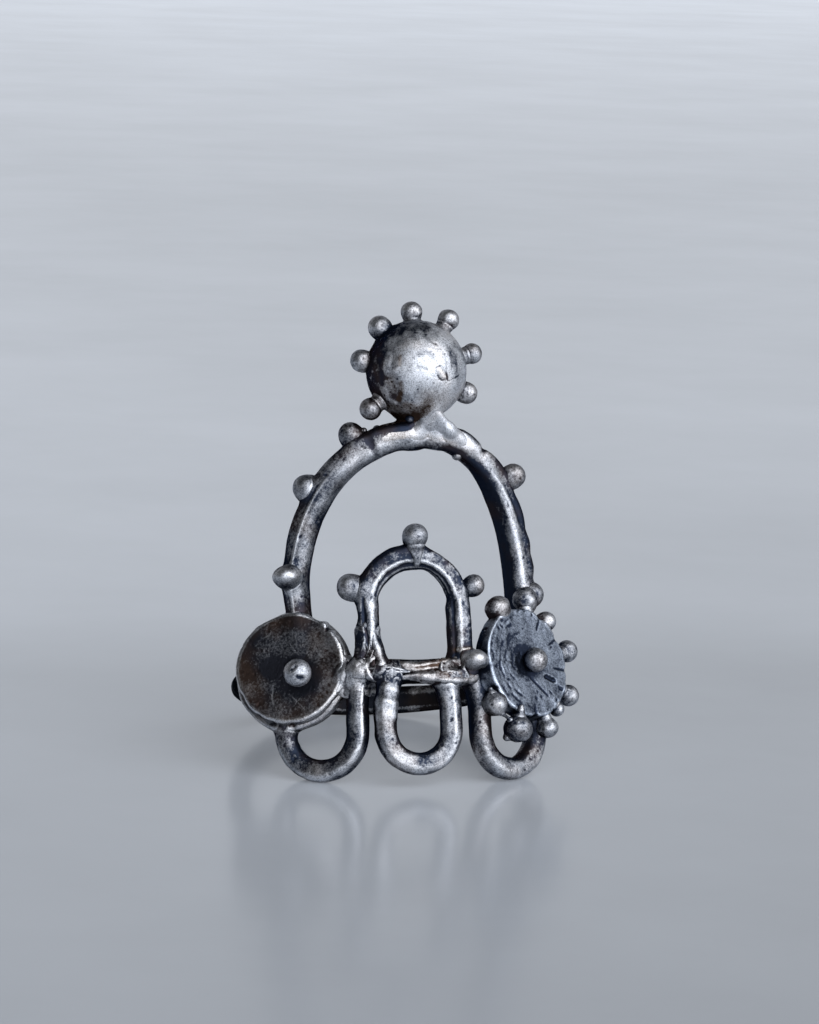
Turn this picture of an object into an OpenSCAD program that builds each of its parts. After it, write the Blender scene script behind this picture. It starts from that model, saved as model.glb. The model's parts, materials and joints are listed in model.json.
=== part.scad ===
// Silver ring whose open crown of arches, discs and a ball stands on a narrow finger band.
// The ring lies on its side by itself: two of its hanging loops and the back of the band touch
// the ground, and the finger's axis leans back. +Z is up, the front faces -Y, and the origin is
// on the ground under the middle of the outline.
// The shapes are laid out round the finger. Its axis is the local Z, the middle of the band is
// local Z = 0, and an azimuth is measured from the front, growing to the wearer's right.

/* [Band] */
// Radius of the finger hole
bore_r = 8.7; // [8.5:0.05:8.85]
// Diameter of the band's wire
band_wire = 1.5; // [1.3:0.05:1.7]
// Depth of the wire from its middle to the flat inside the hole
band_flat = 0.6; // [0.5:0.05:0.65]
// Lean of the finger's axis away from upright
lean = 19; // [17:0.5:21]

/* [Arches] */
// Radius of the wall on which the arches' middle lines lie
wall_r = 9.7; // [9.6:0.05:9.9]
// Half the large arch's width, measured round the wall
large_half = 8.15; // [7.8:0.05:8.5]
// Height of the large arch's straight legs above the band
large_leg = 5; // [4.6:0.1:5.4]
// Height of its oval top over the legs
large_rise = 9.9; // [9.7:0.05:10]
// Diameter of the large arch's wire
large_wire = 1.66; // [1.4:0.02:1.8]
// Half the small arch's width, measured round the wall
small_half = 2.94; // [2.7:0.02:3.1]
// Height of the small arch's straight legs above the band
small_leg = 4.3; // [4:0.1:4.6]
// Diameter of the small arch's wire
small_wire = 1.46; // [1.3:0.02:1.6]

/* [Loops] */
// Diameter of the hanging loops' wire
loop_wire = 1.44; // [1.3:0.02:1.6]
// Half the middle loop's width between the middles of its wire
middle_half = 2.06; // [2:0.02:2.3]
// Half the width of the two side loops
side_half = 2.35; // [2.1:0.05:2.45]
// Gap between the middle loop and the ground
middle_gap = 0.8; // [0.5:0.05:1.1]

/* [Discs] */
// Diameter of the left disc's plates
left_d = 7; // [6.5:0.05:7.2]
// Thickness of each of its two plates
plate_t = 0.6; // [0.5:0.05:0.7]
// Diameter of the right disc
right_d = 6.9; // [6.7:0.05:7]
// Thickness of the right disc
right_t = 1.15; // [1.05:0.05:1.25]
// Diameter of the stalks that hold the grains off the disc and the ball
stalk_d = 0.7; // [0.6:0.05:0.8]

/* [Ball] */
// Radius of the ball
ball_r = 3.05; // [2.9:0.05:3.2]
// Height of its middle above the band
ball_h = 18.8; // [18.7:0.05:18.9]

/* [Hidden] */
silver = [0.55, 0.56, 0.58];
dark_silver = [0.25, 0.26, 0.29];
// Sides of a bent wire's section, and segments of the grains and the discs
sides = 12;
$fn = 48;
// Middle line of the band's wire
band_r = bore_r + band_flat;
// Height of the band's middle over the ground: the wire's back touches it
seat_h = band_r * sin(lean) + band_wire / 2;
// Sideways middle and front-to-back middle of the outline, which the origin stands under
outline_mid_x = 0.1;
outline_mid_y = -1.11;

// Azimuth, distance from the finger's axis and outward turn of each side loop, left and right
LOOP_AZ = [-37.6, 36];
LOOP_TURN = [-32, 30];
LOOP_R = 9.83;
// Sideways place of the large arch, and of the small arch and the middle loop
large_x = 0.12;
middle_x = -0.3;

// Place, turn and rise of the two discs' faces
left_at = [-45.7, 10.75, 0.36];
left_turn = -28;
right_at = [40, 11.1, 0.6];
right_turn = 32;
disc_rise = 8;
// Offset of the left disc's rear plate, and of the pin's foot, on the face
rear_shift = [-0.25, -0.3];
pin_foot = [0.35, 0.05];
pin_d = 1.05;
pin_head_d = 1.7;
pin_tip = [-7.75, -9.35, 0.02];

// Grains on the rim of the right disc: column 0 is the angle round the face, 1 the distance from
// its middle, 2 the diameter
RIM = [[182, 4.35, 1.5], [115, 3.75, 1.55], [75, 4.35, 1.4], [47, 4, 1.25], [14, 4.3, 1.3],
       [334, 4.15, 1.25], [290, 4.3, 1.3], [253, 4.4, 1.8], [222, 4.05, 1.5]];
face_grain_d = 1.55;

// Grains on the arches: azimuth, distance from the finger's axis, height, diameter
LARGE_GRAINS = [[-49.6, 10.1, 6.45, 1.5], [-40.2, 10, 11.85, 1.5], [-22.9, 9.95, 15, 1.45],
                [40.9, 10.4, 12.42, 1.45], [53.3, 10.5, 5.2, 1.4]];
SMALL_GRAINS = [[-24.4, 9.85, 5.38, 1.6], [-0.9, 9.8, 8.55, 1.45], [22, 9.85, 5.38, 1.4]];

// Grains round the ball, in the columns of RIM. None stands over the neck.
HALO = [[96, 3.6, 1.3], [57, 3.77, 1.3], [17, 3.75, 1.25], [337, 3.55, 1.25], [218, 3.65, 1.3],
        [170, 3.5, 1.35], [129, 3.55, 1.4]];
ball_az = 1.7;
ball_out = 10.2;
neck_d = 1.9;
// Solder web in front of the neck, from the arch up to the ball: ends measured from the ball's middle
web_foot = [1.05, 0.15, -3.9];
web_tip = [0.9, -1.2, -2.75];
web_foot_d = 1.7;
web_tip_d = 0.7;

// Point at an azimuth, a distance from the finger's axis and a height over the band's middle
function at(az, r, h) = [r * sin(az), -r * cos(az), h];
function unit(v) = v / norm(v);

// Point of an upright plane, p across and q up from its foot, turned to face an azimuth
function on_plane(foot, turn, p, q) = foot + [p * cos(turn), p * sin(turn), q];
// Point of the wall round the finger, p along the wall and q up
function on_wall(p, q) = at(p / wall_r * 180 / PI, wall_r, q);

// Horseshoe in its own plane: up a straight leg, over a round or oval top, down the other leg
function horseshoe(half, leg, rise, steps) = concat(
    [for (i = [0:steps]) [-half, leg * i / steps]],
    [for (i = [1:3 * steps - 1]) let (a = 180 - 60 * i / steps) [half * cos(a), leg + rise * sin(a)]],
    [for (i = [0:steps]) [half, leg * (1 - i / steps)]]);

// Direction of a path at one of its points, and the outward direction square to it
function heading(path, i) = unit(path[min(i + 1, len(path) - 1)] - path[max(i - 1, 0)]);
function outward(p, t) = let (r = unit([p.x, p.y, 0])) unit(r - t * (r * t));

// Closed round wire along a path
module wire(path, d) {
    n = len(path);
    points = [for (i = [0:n - 1])
        let (t = heading(path, i), out = outward(path[i], t), side = cross(t, out))
        for (k = [0:sides - 1])
            path[i] + d / 2 * (cos(360 * k / sides) * out + sin(360 * k / sides) * side)];
    walls = [for (i = [0:n - 2], k = [0:sides - 1])
        let (a = i * sides + k, b = i * sides + (k + 1) % sides)
        each [[a, a + sides, b + sides], [a, b + sides, b]]];
    ends = [[for (k = [0:sides - 1]) k],
            [for (k = [sides - 1:-1:0]) (n - 1) * sides + k]];
    polyhedron(points = points, faces = concat(walls, ends));
}

module grain(at_point, d) {
    translate(at_point) sphere(d = d);
}

// Round rod between two points, which may taper
module rod(foot, tip, d_foot, d_tip) {
    span = tip - foot;
    translate(foot) rotate([0, acos(span.z / norm(span)), atan2(span.y, span.x)])
        cylinder(d1 = d_foot, d2 = d_tip, h = norm(span));
}

// Grains of a table round a middle, in the local XY plane, each on a short stalk from inside it
module grain_circle(table, inside_r) {
    for (g = table) rotate([0, 0, g[0]]) {
        grain([g[1], 0, 0], g[2]);
        translate([inside_r, 0, 0]) rotate([0, 90, 0]) cylinder(d = stalk_d, h = g[1] - inside_r);
    }
}

// Puts a shape on a face: its local Z is the face's normal, and its local Y points up
module on_face(place, turn, rise) {
    translate(at(place[0], place[1], place[2])) rotate([90 - rise, 0, turn]) children();
}

// Band with a flat inside, turned round the finger's axis
module band() {
    color(dark_silver) rotate_extrude($fn = 96) intersection() {
        translate([band_r, 0]) circle(d = band_wire);
        translate([bore_r, -band_wire]) square([band_wire, 2 * band_wire]);
    }
}

// Two strips that overlap in front of the band and carry the small arch and the loops
module front_bar() {
    color(silver) {
        wire([for (az = [-27:4:5]) at(az, 10.05, 0.28)], 0.95);
        wire([for (az = [-11:4:25]) at(az, 10.1, -0.22)], 1);
    }
}

module large_arch() {
    color(silver) wire([for (c = horseshoe(large_half, large_leg, large_rise, 5))
        on_wall(large_x + c.x, c.y)], large_wire);
}

module small_arch() {
    color(silver) wire([for (c = horseshoe(small_half, small_leg, small_half, 4))
        on_wall(middle_x + c.x, c.y)], small_wire);
}

// Loop that hangs from the band to a given depth below the band's middle
module hanging_loop(foot, turn, half, depth) {
    color(silver) wire([for (c = horseshoe(half, depth - half, half, 4))
        on_plane(foot, turn, c.x, -c.y)], loop_wire);
}

// Depth below the band's middle at which a wire at this azimuth comes down to a given gap
function hang_depth(az, r, gap) =
    (seat_h + r * cos(az) * sin(lean) - loop_wire / 2 - gap) / cos(lean);

module loops() {
    for (i = [0, 1])
        hanging_loop(at(LOOP_AZ[i], LOOP_R, 0), LOOP_TURN[i], side_half,
            hang_depth(LOOP_AZ[i], LOOP_R, 0));
    hanging_loop([middle_x, -wall_r, 0], 0, middle_half, hang_depth(0, wall_r, middle_gap));
}

// Left disc of two stacked plates with a headed pin in the middle
module left_disc() {
    color(dark_silver) on_face(left_at, left_turn, disc_rise) {
        translate([0, 0, -plate_t]) cylinder(d = left_d, h = plate_t);
        translate([rear_shift.x, rear_shift.y, -2 * plate_t]) cylinder(d = left_d, h = plate_t * 1.2);
    }
}

module pin() {
    face = at(left_at[0], left_at[1], left_at[2]) + [pin_foot.x * cos(left_turn),
        pin_foot.x * sin(left_turn), pin_foot.y];
    color(silver) {
        rod(face - plate_t / 2 * unit(pin_tip - face), pin_tip, pin_d, pin_d);
        grain(pin_tip, pin_head_d);
    }
}

module right_disc() {
    color(dark_silver) on_face(right_at, right_turn, disc_rise) {
        translate([0, 0, -right_t]) cylinder(d = right_d, h = right_t);
        grain([0, 0, face_grain_d * 0.42], face_grain_d);
        translate([0, 0, -right_t * 0.4]) grain_circle(RIM, right_d / 2 - 0.5);
    }
}

module arch_grains() {
    color(silver) for (g = concat(LARGE_GRAINS, SMALL_GRAINS)) grain(at(g[0], g[1], g[2]), g[3]);
}

// Ball on a short neck over the large arch, with a solder web and grains round its outline
module ball() {
    color(silver) translate(at(ball_az, ball_out, ball_h)) {
        sphere(r = ball_r, $fn = 96);
        rotate([90, 0, 0]) grain_circle(HALO, ball_r - 0.5);
        rod([-0.2, 0.4, -ball_r - 0.9], [0, 0, -ball_r + 0.6], neck_d, neck_d);
        rod(web_foot, web_tip, web_foot_d, web_tip_d);
    }
}

// All the pieces, soldered into one solid and set down on the ground
module ring() {
    translate([-outline_mid_x, -outline_mid_y, seat_h]) rotate([-lean, 0, 0]) {
        band();
        front_bar();
        large_arch();
        small_arch();
        loops();
        left_disc();
        pin();
        right_disc();
        arch_grains();
        ball();
    }
}

ring();
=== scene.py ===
"""Dressed model of an oxidised silver finger ring with an open crown of arches, discs and a ball.

Every shape is worked out in millimetres in the finger's frame, and then laid in the row's frame.
In the finger's frame the first axis points to the wearer's right, the second to the back of the
finger and the third along the finger. An azimuth is measured from the front, growing to the right.
"""
import json
import logging
from dataclasses import dataclass, field, replace
from enum import Enum
from typing import Iterable, Optional, Union

import bpy
import numpy as np
from mathutils import Matrix


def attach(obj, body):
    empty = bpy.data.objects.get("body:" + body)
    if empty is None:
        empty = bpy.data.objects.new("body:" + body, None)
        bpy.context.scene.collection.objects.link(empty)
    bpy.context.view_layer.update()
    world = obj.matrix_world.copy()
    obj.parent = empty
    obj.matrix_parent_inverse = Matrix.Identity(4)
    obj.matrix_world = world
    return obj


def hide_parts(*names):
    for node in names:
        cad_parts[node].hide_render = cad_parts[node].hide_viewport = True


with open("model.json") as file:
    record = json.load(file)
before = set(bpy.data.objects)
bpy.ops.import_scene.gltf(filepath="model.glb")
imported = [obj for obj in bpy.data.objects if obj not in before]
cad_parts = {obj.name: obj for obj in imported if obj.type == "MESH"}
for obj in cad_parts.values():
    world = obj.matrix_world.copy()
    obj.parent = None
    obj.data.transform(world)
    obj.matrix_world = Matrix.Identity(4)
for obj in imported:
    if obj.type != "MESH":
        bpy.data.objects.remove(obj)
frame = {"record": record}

Floats = np.ndarray
Ints = np.ndarray
Three = tuple[float, float, float]
Four = tuple[float, float, float, float]
MM = 0.001
NODE = "ring"
BODY = "root"
log = logging.getLogger("ring")

# Distance from the finger's axis to the wall on which the arches stand
WALL = 9.7
# Farther than anything in the ring
FAR = 99.0
# Steps along a short wire, and along the plain rod that stands for a wire
WIRE_STEP = 0.07
ROD_STEP = 0.6
# How near other pieces come where they lift solder, and where they take room from a surface, which darkens it
# as patina and painted shade
SOLDER_REACH = 1.0
SHADE_REACH = 1.8
# Distances out from a surface at which its room is felt, and the share of each
ROOMS = ((0.25, 0.4), (0.7, 0.35), (1.5, 0.25))
# How much wider than its radius a rod is taken when it is asked whether it comes into a box
ROD_ROOM = 0.35
# Angles of the points round a disc
DISC_TURN = np.linspace(0, 2 * np.pi, 330, endpoint=False)


# Small vector helpers


def unit(vectors: Floats) -> Floats:
    """Vectors divided by their lengths."""
    return vectors / np.maximum(np.linalg.norm(vectors, axis=-1, keepdims=True), 1e-12)


def smooth(value: Floats, low: float, high: float) -> Floats:
    """Smooth step from 0 at low to 1 at high: 3 t^2 - 2 t^3."""
    part = np.clip((np.asarray(value, float) - low) / (high - low), 0, 1)
    return part * part * (3 - 2 * part)


def hump(value: Floats, middle: float, half: float) -> Floats:
    """Bell that is 1 at middle and 0 from half away: (1 - t^2)^2."""
    part = np.clip(np.abs(np.asarray(value, float) - middle) / half, 0, 1)
    return (1 - part * part) ** 2


def at(azimuth: float, distance: float, height: float) -> Floats:
    """Point at an azimuth in degrees, a distance from the finger's axis and a height over the band."""
    turn = np.radians(azimuth)
    return np.stack(np.broadcast_arrays(distance * np.sin(turn), -distance * np.cos(turn), height), -1)


def on_wall(across: Floats, height: Floats, distance: float = WALL) -> Floats:
    """Point of the wall round the finger: across is measured along the wall, height up it."""
    return at(np.degrees(np.asarray(across) / WALL), distance, height)


def even(path: Floats, step: float) -> Floats:
    """Path resampled to equal steps of its own length, by linear interpolation.

    Args:
        path: the path.
        step: length of a step, about.

    Returns:
        The new path's points.
    """
    length = np.concatenate([[0], np.cumsum(np.linalg.norm(np.diff(path, axis=0), axis=1))])
    marks = np.linspace(0, length[-1], max(int(round(length[-1] / step)), 4) + 1)
    return np.stack([np.interp(marks, length, path[:, k]) for k in range(3)], -1)


def bent(corners: Floats, steps: int = 6) -> Floats:
    """Smooth curve through corners.

    Each stretch is a cubic whose slopes are half the step over both neighbours.

    Args:
        corners: the corners.
        steps: points to a stretch.

    Returns:
        The curve's points.
    """
    if len(corners) < 3:
        return corners
    near = np.concatenate([2 * corners[:1] - corners[1:2], corners, 2 * corners[-1:] - corners[-2:-1]])
    t = np.linspace(0, 1, steps, endpoint=False)[:, None]
    stretches = [
        p + t * (q - o) / 2 + t**2 * (o - 2.5 * p + 2 * q - r / 2) + t**3 * (1.5 * (p - q) + (r - o) / 2)
        for o, p, q, r in zip(near[:-3], near[1:-2], near[2:-1], near[3:])]
    return np.concatenate([*stretches, corners[-1:]])


def horseshoe(half: float, leg: float, rise: float, step: float) -> Floats:
    """Flat horseshoe in equal steps.

    It goes up a straight leg at -half, over the oval (half cos a, leg + rise sin a) and down a leg at +half.

    Args:
        half: half its width.
        leg: length of its legs.
        rise: height of its oval over them.
        step: distance between its points, about.

    Returns:
        Its points, with the measure across first and the measure up second.
    """
    turn = np.radians(np.linspace(180, 0, 181))
    oval = np.stack([half * np.cos(turn), leg + rise * np.sin(turn)], -1)
    up = np.linspace(0, leg, 60, endpoint=False)
    left = np.stack([np.full_like(up, -half), up], -1)
    right = np.stack([np.full_like(up, half), up[::-1]], -1)
    return even(np.pad(np.concatenate([left, oval, right]), ((0, 0), (0, 1))), step)


# Noise


def chance(cells: Ints, seed: int) -> Floats:
    """A number from 0 to 1 for each whole-number cell, from mixed bits of its three indices and the seed.

    Args:
        cells: the cells.
        seed: the seed.

    Returns:
        The numbers.
    """
    mixed = np.full(cells.shape[:-1], seed * 2654435761 % 4294967296, np.uint64)
    for axis, factor in enumerate((73856093, 19349663, 83492791)):
        mixed = mixed ^ (cells[..., axis].astype(np.uint64) * np.uint64(factor))
        mixed = (mixed ^ (mixed >> np.uint64(31))) * np.uint64(0x9E3779B97F4A7C15)
    return ((mixed ^ (mixed >> np.uint64(29))) >> np.uint64(11)).astype(float) / 2**53


def murmur(points: Floats, size: float, seed: int) -> Floats:
    """Smooth noise from -1 to 1: values at the corners of cells of that size, blended by 6t^5-15t^4+10t^3.

    Args:
        points: the points.
        size: size of a cell.
        seed: seed of the chance.

    Returns:
        The noise at the points.
    """
    scaled = points / size + seed * 17.31
    cell = np.floor(scaled).astype(np.int64)
    part = scaled - cell
    blend = part**3 * (part * (part * 6 - 15) + 10)
    total = np.zeros(points.shape[:-1])
    for corner in np.ndindex(2, 2, 2):
        weight = np.prod(np.where(np.array(corner), blend, 1 - blend), axis=-1)
        total += weight * chance(cell + np.array(corner), seed)
    return 2 * total - 1


def rough(points: Floats, size: float, seed: int, octaves: int = 3) -> Floats:
    """Sum of murmurs, each half the size and half the height of the last, about -1 to 1."""
    return sum(murmur(points, size / 2**k, seed + 7 * k) / 2**k for k in range(octaves)) / 1.5


def cells(points: Floats, size: float, seed: int) -> tuple[Floats, Floats, Floats]:
    """Distances to the two nearest of points that are scattered one to a cell.

    Args:
        points: the points.
        size: size of a cell.
        seed: seed of the chance.

    Returns:
        The nearest one's distance and the next one's, in units of size, and a number of the nearest one's
        own.
    """
    scaled = points / size
    cell = np.floor(scaled).astype(np.int64)
    first = np.full(points.shape[:-1], FAR)
    second = first.copy()
    number = first.copy()
    for shift in np.ndindex(3, 3, 3):
        near = cell + np.array(shift) - 1
        site = near + np.stack([chance(near, seed + k) for k in range(3)], -1)
        away = np.linalg.norm(scaled - site, axis=-1)
        closer = away < first
        second = np.where(closer, first, np.minimum(second, away))
        number = np.where(closer, chance(near, seed + 5), number)
        first = np.where(closer, away, first)
    return first, second, number


# Solids that stand for the pieces where they meet


@dataclass
class Rod:
    """Round rod along a path, with a radius at each point."""

    owner: str
    path: Floats
    radius: Union[float, Floats]
    weld: float = 0.8

    def distance(self, points: Floats) -> Floats:
        """Distance of points to the rod's surface, the least over its segments.

        Args:
            points: the points.

        Returns:
            The distances.
        """
        path, radius = self.path, np.broadcast_to(self.radius, len(self.path))
        best = np.full(len(points), FAR)
        for a, b, ra, rb in zip(path[:-1], path[1:], radius[:-1], radius[1:]):
            span = b - a
            part = np.clip((points - a) @ span / (span @ span), 0, 1)
            away = np.linalg.norm(points - a - part[:, None] * span, axis=1) - ra - part * (rb - ra)
            best = np.minimum(best, away)
        return best

    def inside(self, low: Floats, high: Floats) -> Optional["Rod"]:
        """The rod from its first to its last point in a box and a point more each way, if it is there.

        Args:
            low: the box's least corner.
            high: its greatest corner.

        Returns:
            The part of the rod, or None.
        """
        radius = np.broadcast_to(self.radius, len(self.path))
        room = radius[:, None] + ROD_ROOM
        spots = np.flatnonzero(np.all((self.path + room > low) & (self.path - room < high), axis=1))
        if not len(spots):
            return None
        part = slice(max(spots[0] - 1, 0), spots[-1] + 2)
        return Rod(self.owner, self.path[part], radius[part], self.weld)


@dataclass
class Bead:
    """Round bead."""

    owner: str
    centre: Floats
    radius: float
    weld: float = 0.5

    def distance(self, points: Floats) -> Floats:
        """Distance of points to the bead's surface."""
        return np.linalg.norm(points - self.centre, axis=1) - self.radius


@dataclass
class Face:
    """Place of a disc: centre of its front face and the right, up and outward directions on it."""

    centre: Floats
    right: Floats
    up: Floats
    out: Floats

    @classmethod
    def turned(cls, centre: Floats, turn: float, rise: float) -> "Face":
        """Face at a centre, turned by an azimuth and tipped up by a rise, both in degrees.

        Args:
            centre: its centre.
            turn: the azimuth.
            rise: the rise.

        Returns:
            The face.
        """
        t, r = np.radians(turn), np.radians(rise)
        out = np.array([np.sin(t) * np.cos(r), -np.cos(t) * np.cos(r), np.sin(r)])
        right = np.array([np.cos(t), np.sin(t), 0.0])
        return cls(np.asarray(centre, float), right, np.cross(out, right), out)

    def point(self, across: Floats, up: Floats, out: Floats = 0.0) -> Floats:
        """Point across, up and out from the centre.

        Args:
            across: to the right.
            up: up.
            out: out.

        Returns:
            The point.
        """
        across, up, out = np.broadcast_arrays(across, up, out)
        return (self.centre + across[..., None] * self.right + up[..., None] * self.up
                + out[..., None] * self.out)

    def flat(self, points: Floats) -> tuple[Floats, Floats, Floats]:
        """The across, up and out measures of points."""
        away = points - self.centre
        return away @ self.right, away @ self.up, away @ self.out


@dataclass
class Plate:
    """Round plate behind a face."""

    owner: str
    face: Face
    radius: float
    front: float
    back: float
    weld: float = 0.5

    def distance(self, points: Floats) -> Floats:
        """Distance of points to the plate: out of its rim, out of its two faces, or both.

        Args:
            points: the points.

        Returns:
            The distances.
        """
        across, up, out = self.face.flat(points)
        rim = np.hypot(across, up) - self.radius
        deep = np.abs(out - (self.front + self.back) / 2) - (self.front - self.back) / 2
        return np.minimum(np.maximum(rim, deep), 0) + np.hypot(np.maximum(rim, 0), np.maximum(deep, 0))


Solid = Union[Rod, Bead, Plate]


def fused(points: Floats, solids: list[Solid], blend: float) -> Floats:
    """Distance to solids that are run together.

    It is the least, a, less blend/4 h^2 with h = 1 - (b - a) / blend, where b is the next.

    Args:
        points: the points.
        solids: the solids.
        blend: how wide one runs into the other.

    Returns:
        The distances.
    """
    first, second = np.full(len(points), FAR), np.full(len(points), FAR)
    for solid in solids:
        away = solid.distance(points)
        second = np.minimum(second, np.maximum(first, away))
        first = np.minimum(first, away)
    share = np.clip(1 - (second - first) / blend, 0, 1)
    return first - share * share * blend / 4


@dataclass
class Metalwork:
    """All the pieces' solids, which tell a surface where the others meet it."""

    solids: list[Solid] = field(default_factory=list)

    def add(self, *solids: Solid) -> None:
        """Adds solids."""
        self.solids.extend(solids)

    def near(self, points: Floats, reach: float) -> list[Solid]:
        """Solids that come within a reach of the box of points.

        Args:
            points: the points.
            reach: the reach.

        Returns:
            The solids, and of a rod only the part there.
        """
        low, high = points.min(0) - reach, points.max(0) + reach
        found = []
        for solid in self.solids:
            if isinstance(solid, Rod):
                part = solid.inside(low, high)
                if part is not None:
                    found.append(part)
                continue
            spot = solid.centre if isinstance(solid, Bead) else solid.face.centre
            if np.all(spot - solid.radius < high) and np.all(spot + solid.radius > low):
                found.append(solid)
        return found

    def around(self, centre: Floats, reach: Three) -> list[Solid]:
        """Solids that come into the box that goes a reach each way from a centre."""
        return self.near(np.stack([centre - reach, centre + reach]), 0.0)

    def solder(self, points: Floats, owner: str) -> Floats:
        """How far solder lifts a surface beside other pieces.

        It is w h^2 / 4 with h = 1 - |gap| / w, where w is the weld.

        Args:
            points: the surface's points.
            owner: name of its own solid.

        Returns:
            The lift.
        """
        lift = np.zeros(len(points))
        for solid in self.near(points, SOLDER_REACH):
            if solid.owner != owner and solid.weld > 0:
                share = np.clip(1 - np.abs(solid.distance(points)) / solid.weld, 0, 1)
                lift = np.maximum(lift, share * share * solid.weld / 4)
        return lift

    def shade_in_hollows(self, points: Floats, normals: Floats) -> Floats:
        """How enclosed a surface is, 0 to 1: the room missing at three distances out from it. It darkens the
        surface as patina and painted shade in its hollows.

        Args:
            points: the surface's points.
            normals: its outward directions.

        Returns:
            The enclosure, used as patina and painted shade.
        """
        hidden = np.zeros(len(points))
        solids = self.near(points, SHADE_REACH)
        for reach, share in ROOMS:
            probe = points + normals * reach
            room = np.full(len(points), reach)
            for solid in solids:
                room = np.minimum(room, solid.distance(probe))
            hidden += share * np.clip(1 - room / reach, 0, 1)
        return hidden


# Surfaces


def shingles(rows: int, columns: int, ring: bool = False) -> Ints:
    """Four-cornered faces of a grid whose columns close on themselves, and whose rows do if ring.

    Args:
        rows: the grid's rows.
        columns: its columns.
        ring: whether its rows close.

    Returns:
        The faces' corners.
    """
    i, j = np.meshgrid(np.arange(rows if ring else rows - 1), np.arange(columns), indexing="ij")
    below, beside = (i + 1) % rows, (j + 1) % columns
    quads = np.stack([i * columns + j, i * columns + beside,
                      below * columns + beside, below * columns + j], -1)
    return quads.reshape(-1, 4)


@dataclass
class Skin:
    """Closed surface: points, four-cornered and three-cornered faces, and the shades painted on it."""

    owner: str
    points: Floats
    quads: Ints
    tris: Ints
    # Shades: darkening that is patina and painted shade, brightening that is wear and painted highlight, and
    # brown or blue
    soot: Floats = field(default_factory=lambda: np.zeros(0))
    rub: Floats = field(default_factory=lambda: np.zeros(0))
    warm: Floats = field(default_factory=lambda: np.zeros(0))

    def __post_init__(self) -> None:
        """Starts with no shades, and turns the faces outward if the volume is negative."""
        count = len(self.points)
        self.soot, self.rub, self.warm = np.zeros(count), np.zeros(count), np.zeros(count)
        a, b, c = (self.points[self.corners()[:, k]] for k in range(3))
        if np.einsum("ij,ij->", a, np.cross(b, c)) < 0:
            self.quads, self.tris = self.quads[:, ::-1], self.tris[:, ::-1]

    def corners(self) -> Ints:
        """Every face as triangles."""
        return np.concatenate([self.quads[:, [0, 1, 2]], self.quads[:, [0, 2, 3]], self.tris])

    def normals(self) -> Floats:
        """Outward directions at the points: the sum of the faces' areas round each.

        Returns:
            The directions.
        """
        faces = self.corners()
        a, b, c = (self.points[faces[:, k]] for k in range(3))
        area = np.cross(b - a, c - a)
        total = np.stack([
            sum(np.bincount(faces[:, k], area[:, axis], len(self.points)) for k in range(3))
            for axis in range(3)], -1)
        return unit(total)

    def swell(self, amount: Floats) -> "Skin":
        """Moves the surface out along its normals."""
        self.points = self.points + self.normals() * np.asarray(amount)[..., None]
        return self

    def settle(self, metal: Metalwork, solder: bool) -> "Skin":
        """Lifts the solder at the joints, if there is any, and darkens the hollows round them with patina and
        painted shade.

        Args:
            metal: all the pieces' solids.
            solder: whether there is any.

        Returns:
            The skin itself.
        """
        if solder:
            self.swell(metal.solder(self.points, self.owner))
        # Patina and painted shade where other pieces close in on the surface
        self.soot = np.clip(self.soot + metal.shade_in_hollows(self.points, self.normals()), 0, 1.5)
        return self

    def share(self, values: Floats, passes: int) -> Floats:
        """Values evened out between neighbours, to the faces and back, a number of times.

        Args:
            values: a value at each point.
            passes: how many times.

        Returns:
            The evened values.
        """
        faces, size = self.corners(), len(self.points)
        count = np.maximum(np.bincount(faces.ravel(), minlength=size), 1)
        for _ in range(passes):
            values = np.bincount(faces.ravel(), np.repeat(values[faces].mean(1), 3), size) / count
        return values

    def bulge(self) -> Floats:
        """Roundness in 1/mm, positive on crests.

        It is twice the inward step from a point to its faces' middles over the step's square.

        Returns:
            The roundness at the points.
        """
        faces, size = self.corners(), len(self.points)
        steps = self.points[faces].mean(1)[:, None] - self.points[faces]
        inward = -np.einsum("fkj,fkj->fk", steps, self.normals()[faces])
        square = np.einsum("fkj,fkj->fk", steps, steps)
        total = np.bincount(faces.ravel(), inward.ravel(), size)
        return self.share(2 * total / np.bincount(faces.ravel(), square.ravel(), size), 2)

    def wear(self) -> None:
        """Rubs the crests bright and leaves soot in the creases."""
        bulge = self.bulge()
        self.rub += 0.5 * smooth(bulge, 1.2, 4.0)
        self.soot += 0.6 * smooth(-bulge, 0.1, 2.0)

    def mark(self, face: Face, line: list[tuple[float, float]], width: float, lift: float = 0.0,
             soot: float = 0.0, rub: float = 0.0, warm: float = 0.0) -> None:
        """Draws a line on the side of the surface that faces a plane.

        Args:
            face: plane on which the line is given, in mm across and up from its centre.
            line: its corners.
            width: distance from the line at which it fades out.
            lift: how far it is raised, or cut if negative.
            soot: darkening added along it.
            rub: brightening added along it.
            warm: brown added along it, or blue if negative.
        """
        normals = self.normals()
        across, up, _ = face.flat(self.points)
        spots = np.stack([across, up, np.zeros_like(up)], -1)
        path = bent(np.array([(x, y, 0.0) for x, y in line]))
        share = hump(Rod("", path, 0.0).distance(spots), 0, width) * smooth(normals @ face.out, 0.0, 0.35)
        self.points = self.points + normals * (share * lift)[:, None]
        self.soot = self.soot + share * soot
        self.rub = self.rub + share * rub
        self.warm = self.warm + share * warm


def capped(owner: str, grid: Floats, tips: Iterable[Floats]) -> Skin:
    """Skin of a grid that closes round its columns, with one point closing each end.

    Args:
        owner: name of the skin.
        grid: its points, rows by columns.
        tips: the two points.

    Returns:
        The skin.
    """
    rows, columns = grid.shape[:2]
    points = np.concatenate([grid.reshape(-1, 3), np.stack(list(tips))])
    j = np.arange(columns)
    near = np.stack([np.full(columns, rows * columns), (j + 1) % columns, j], -1)
    base = (rows - 1) * columns
    far = np.stack([np.full(columns, rows * columns + 1), base + j, base + (j + 1) % columns], -1)
    return Skin(owner, points, shingles(rows, columns), np.concatenate([near, far]))


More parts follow.
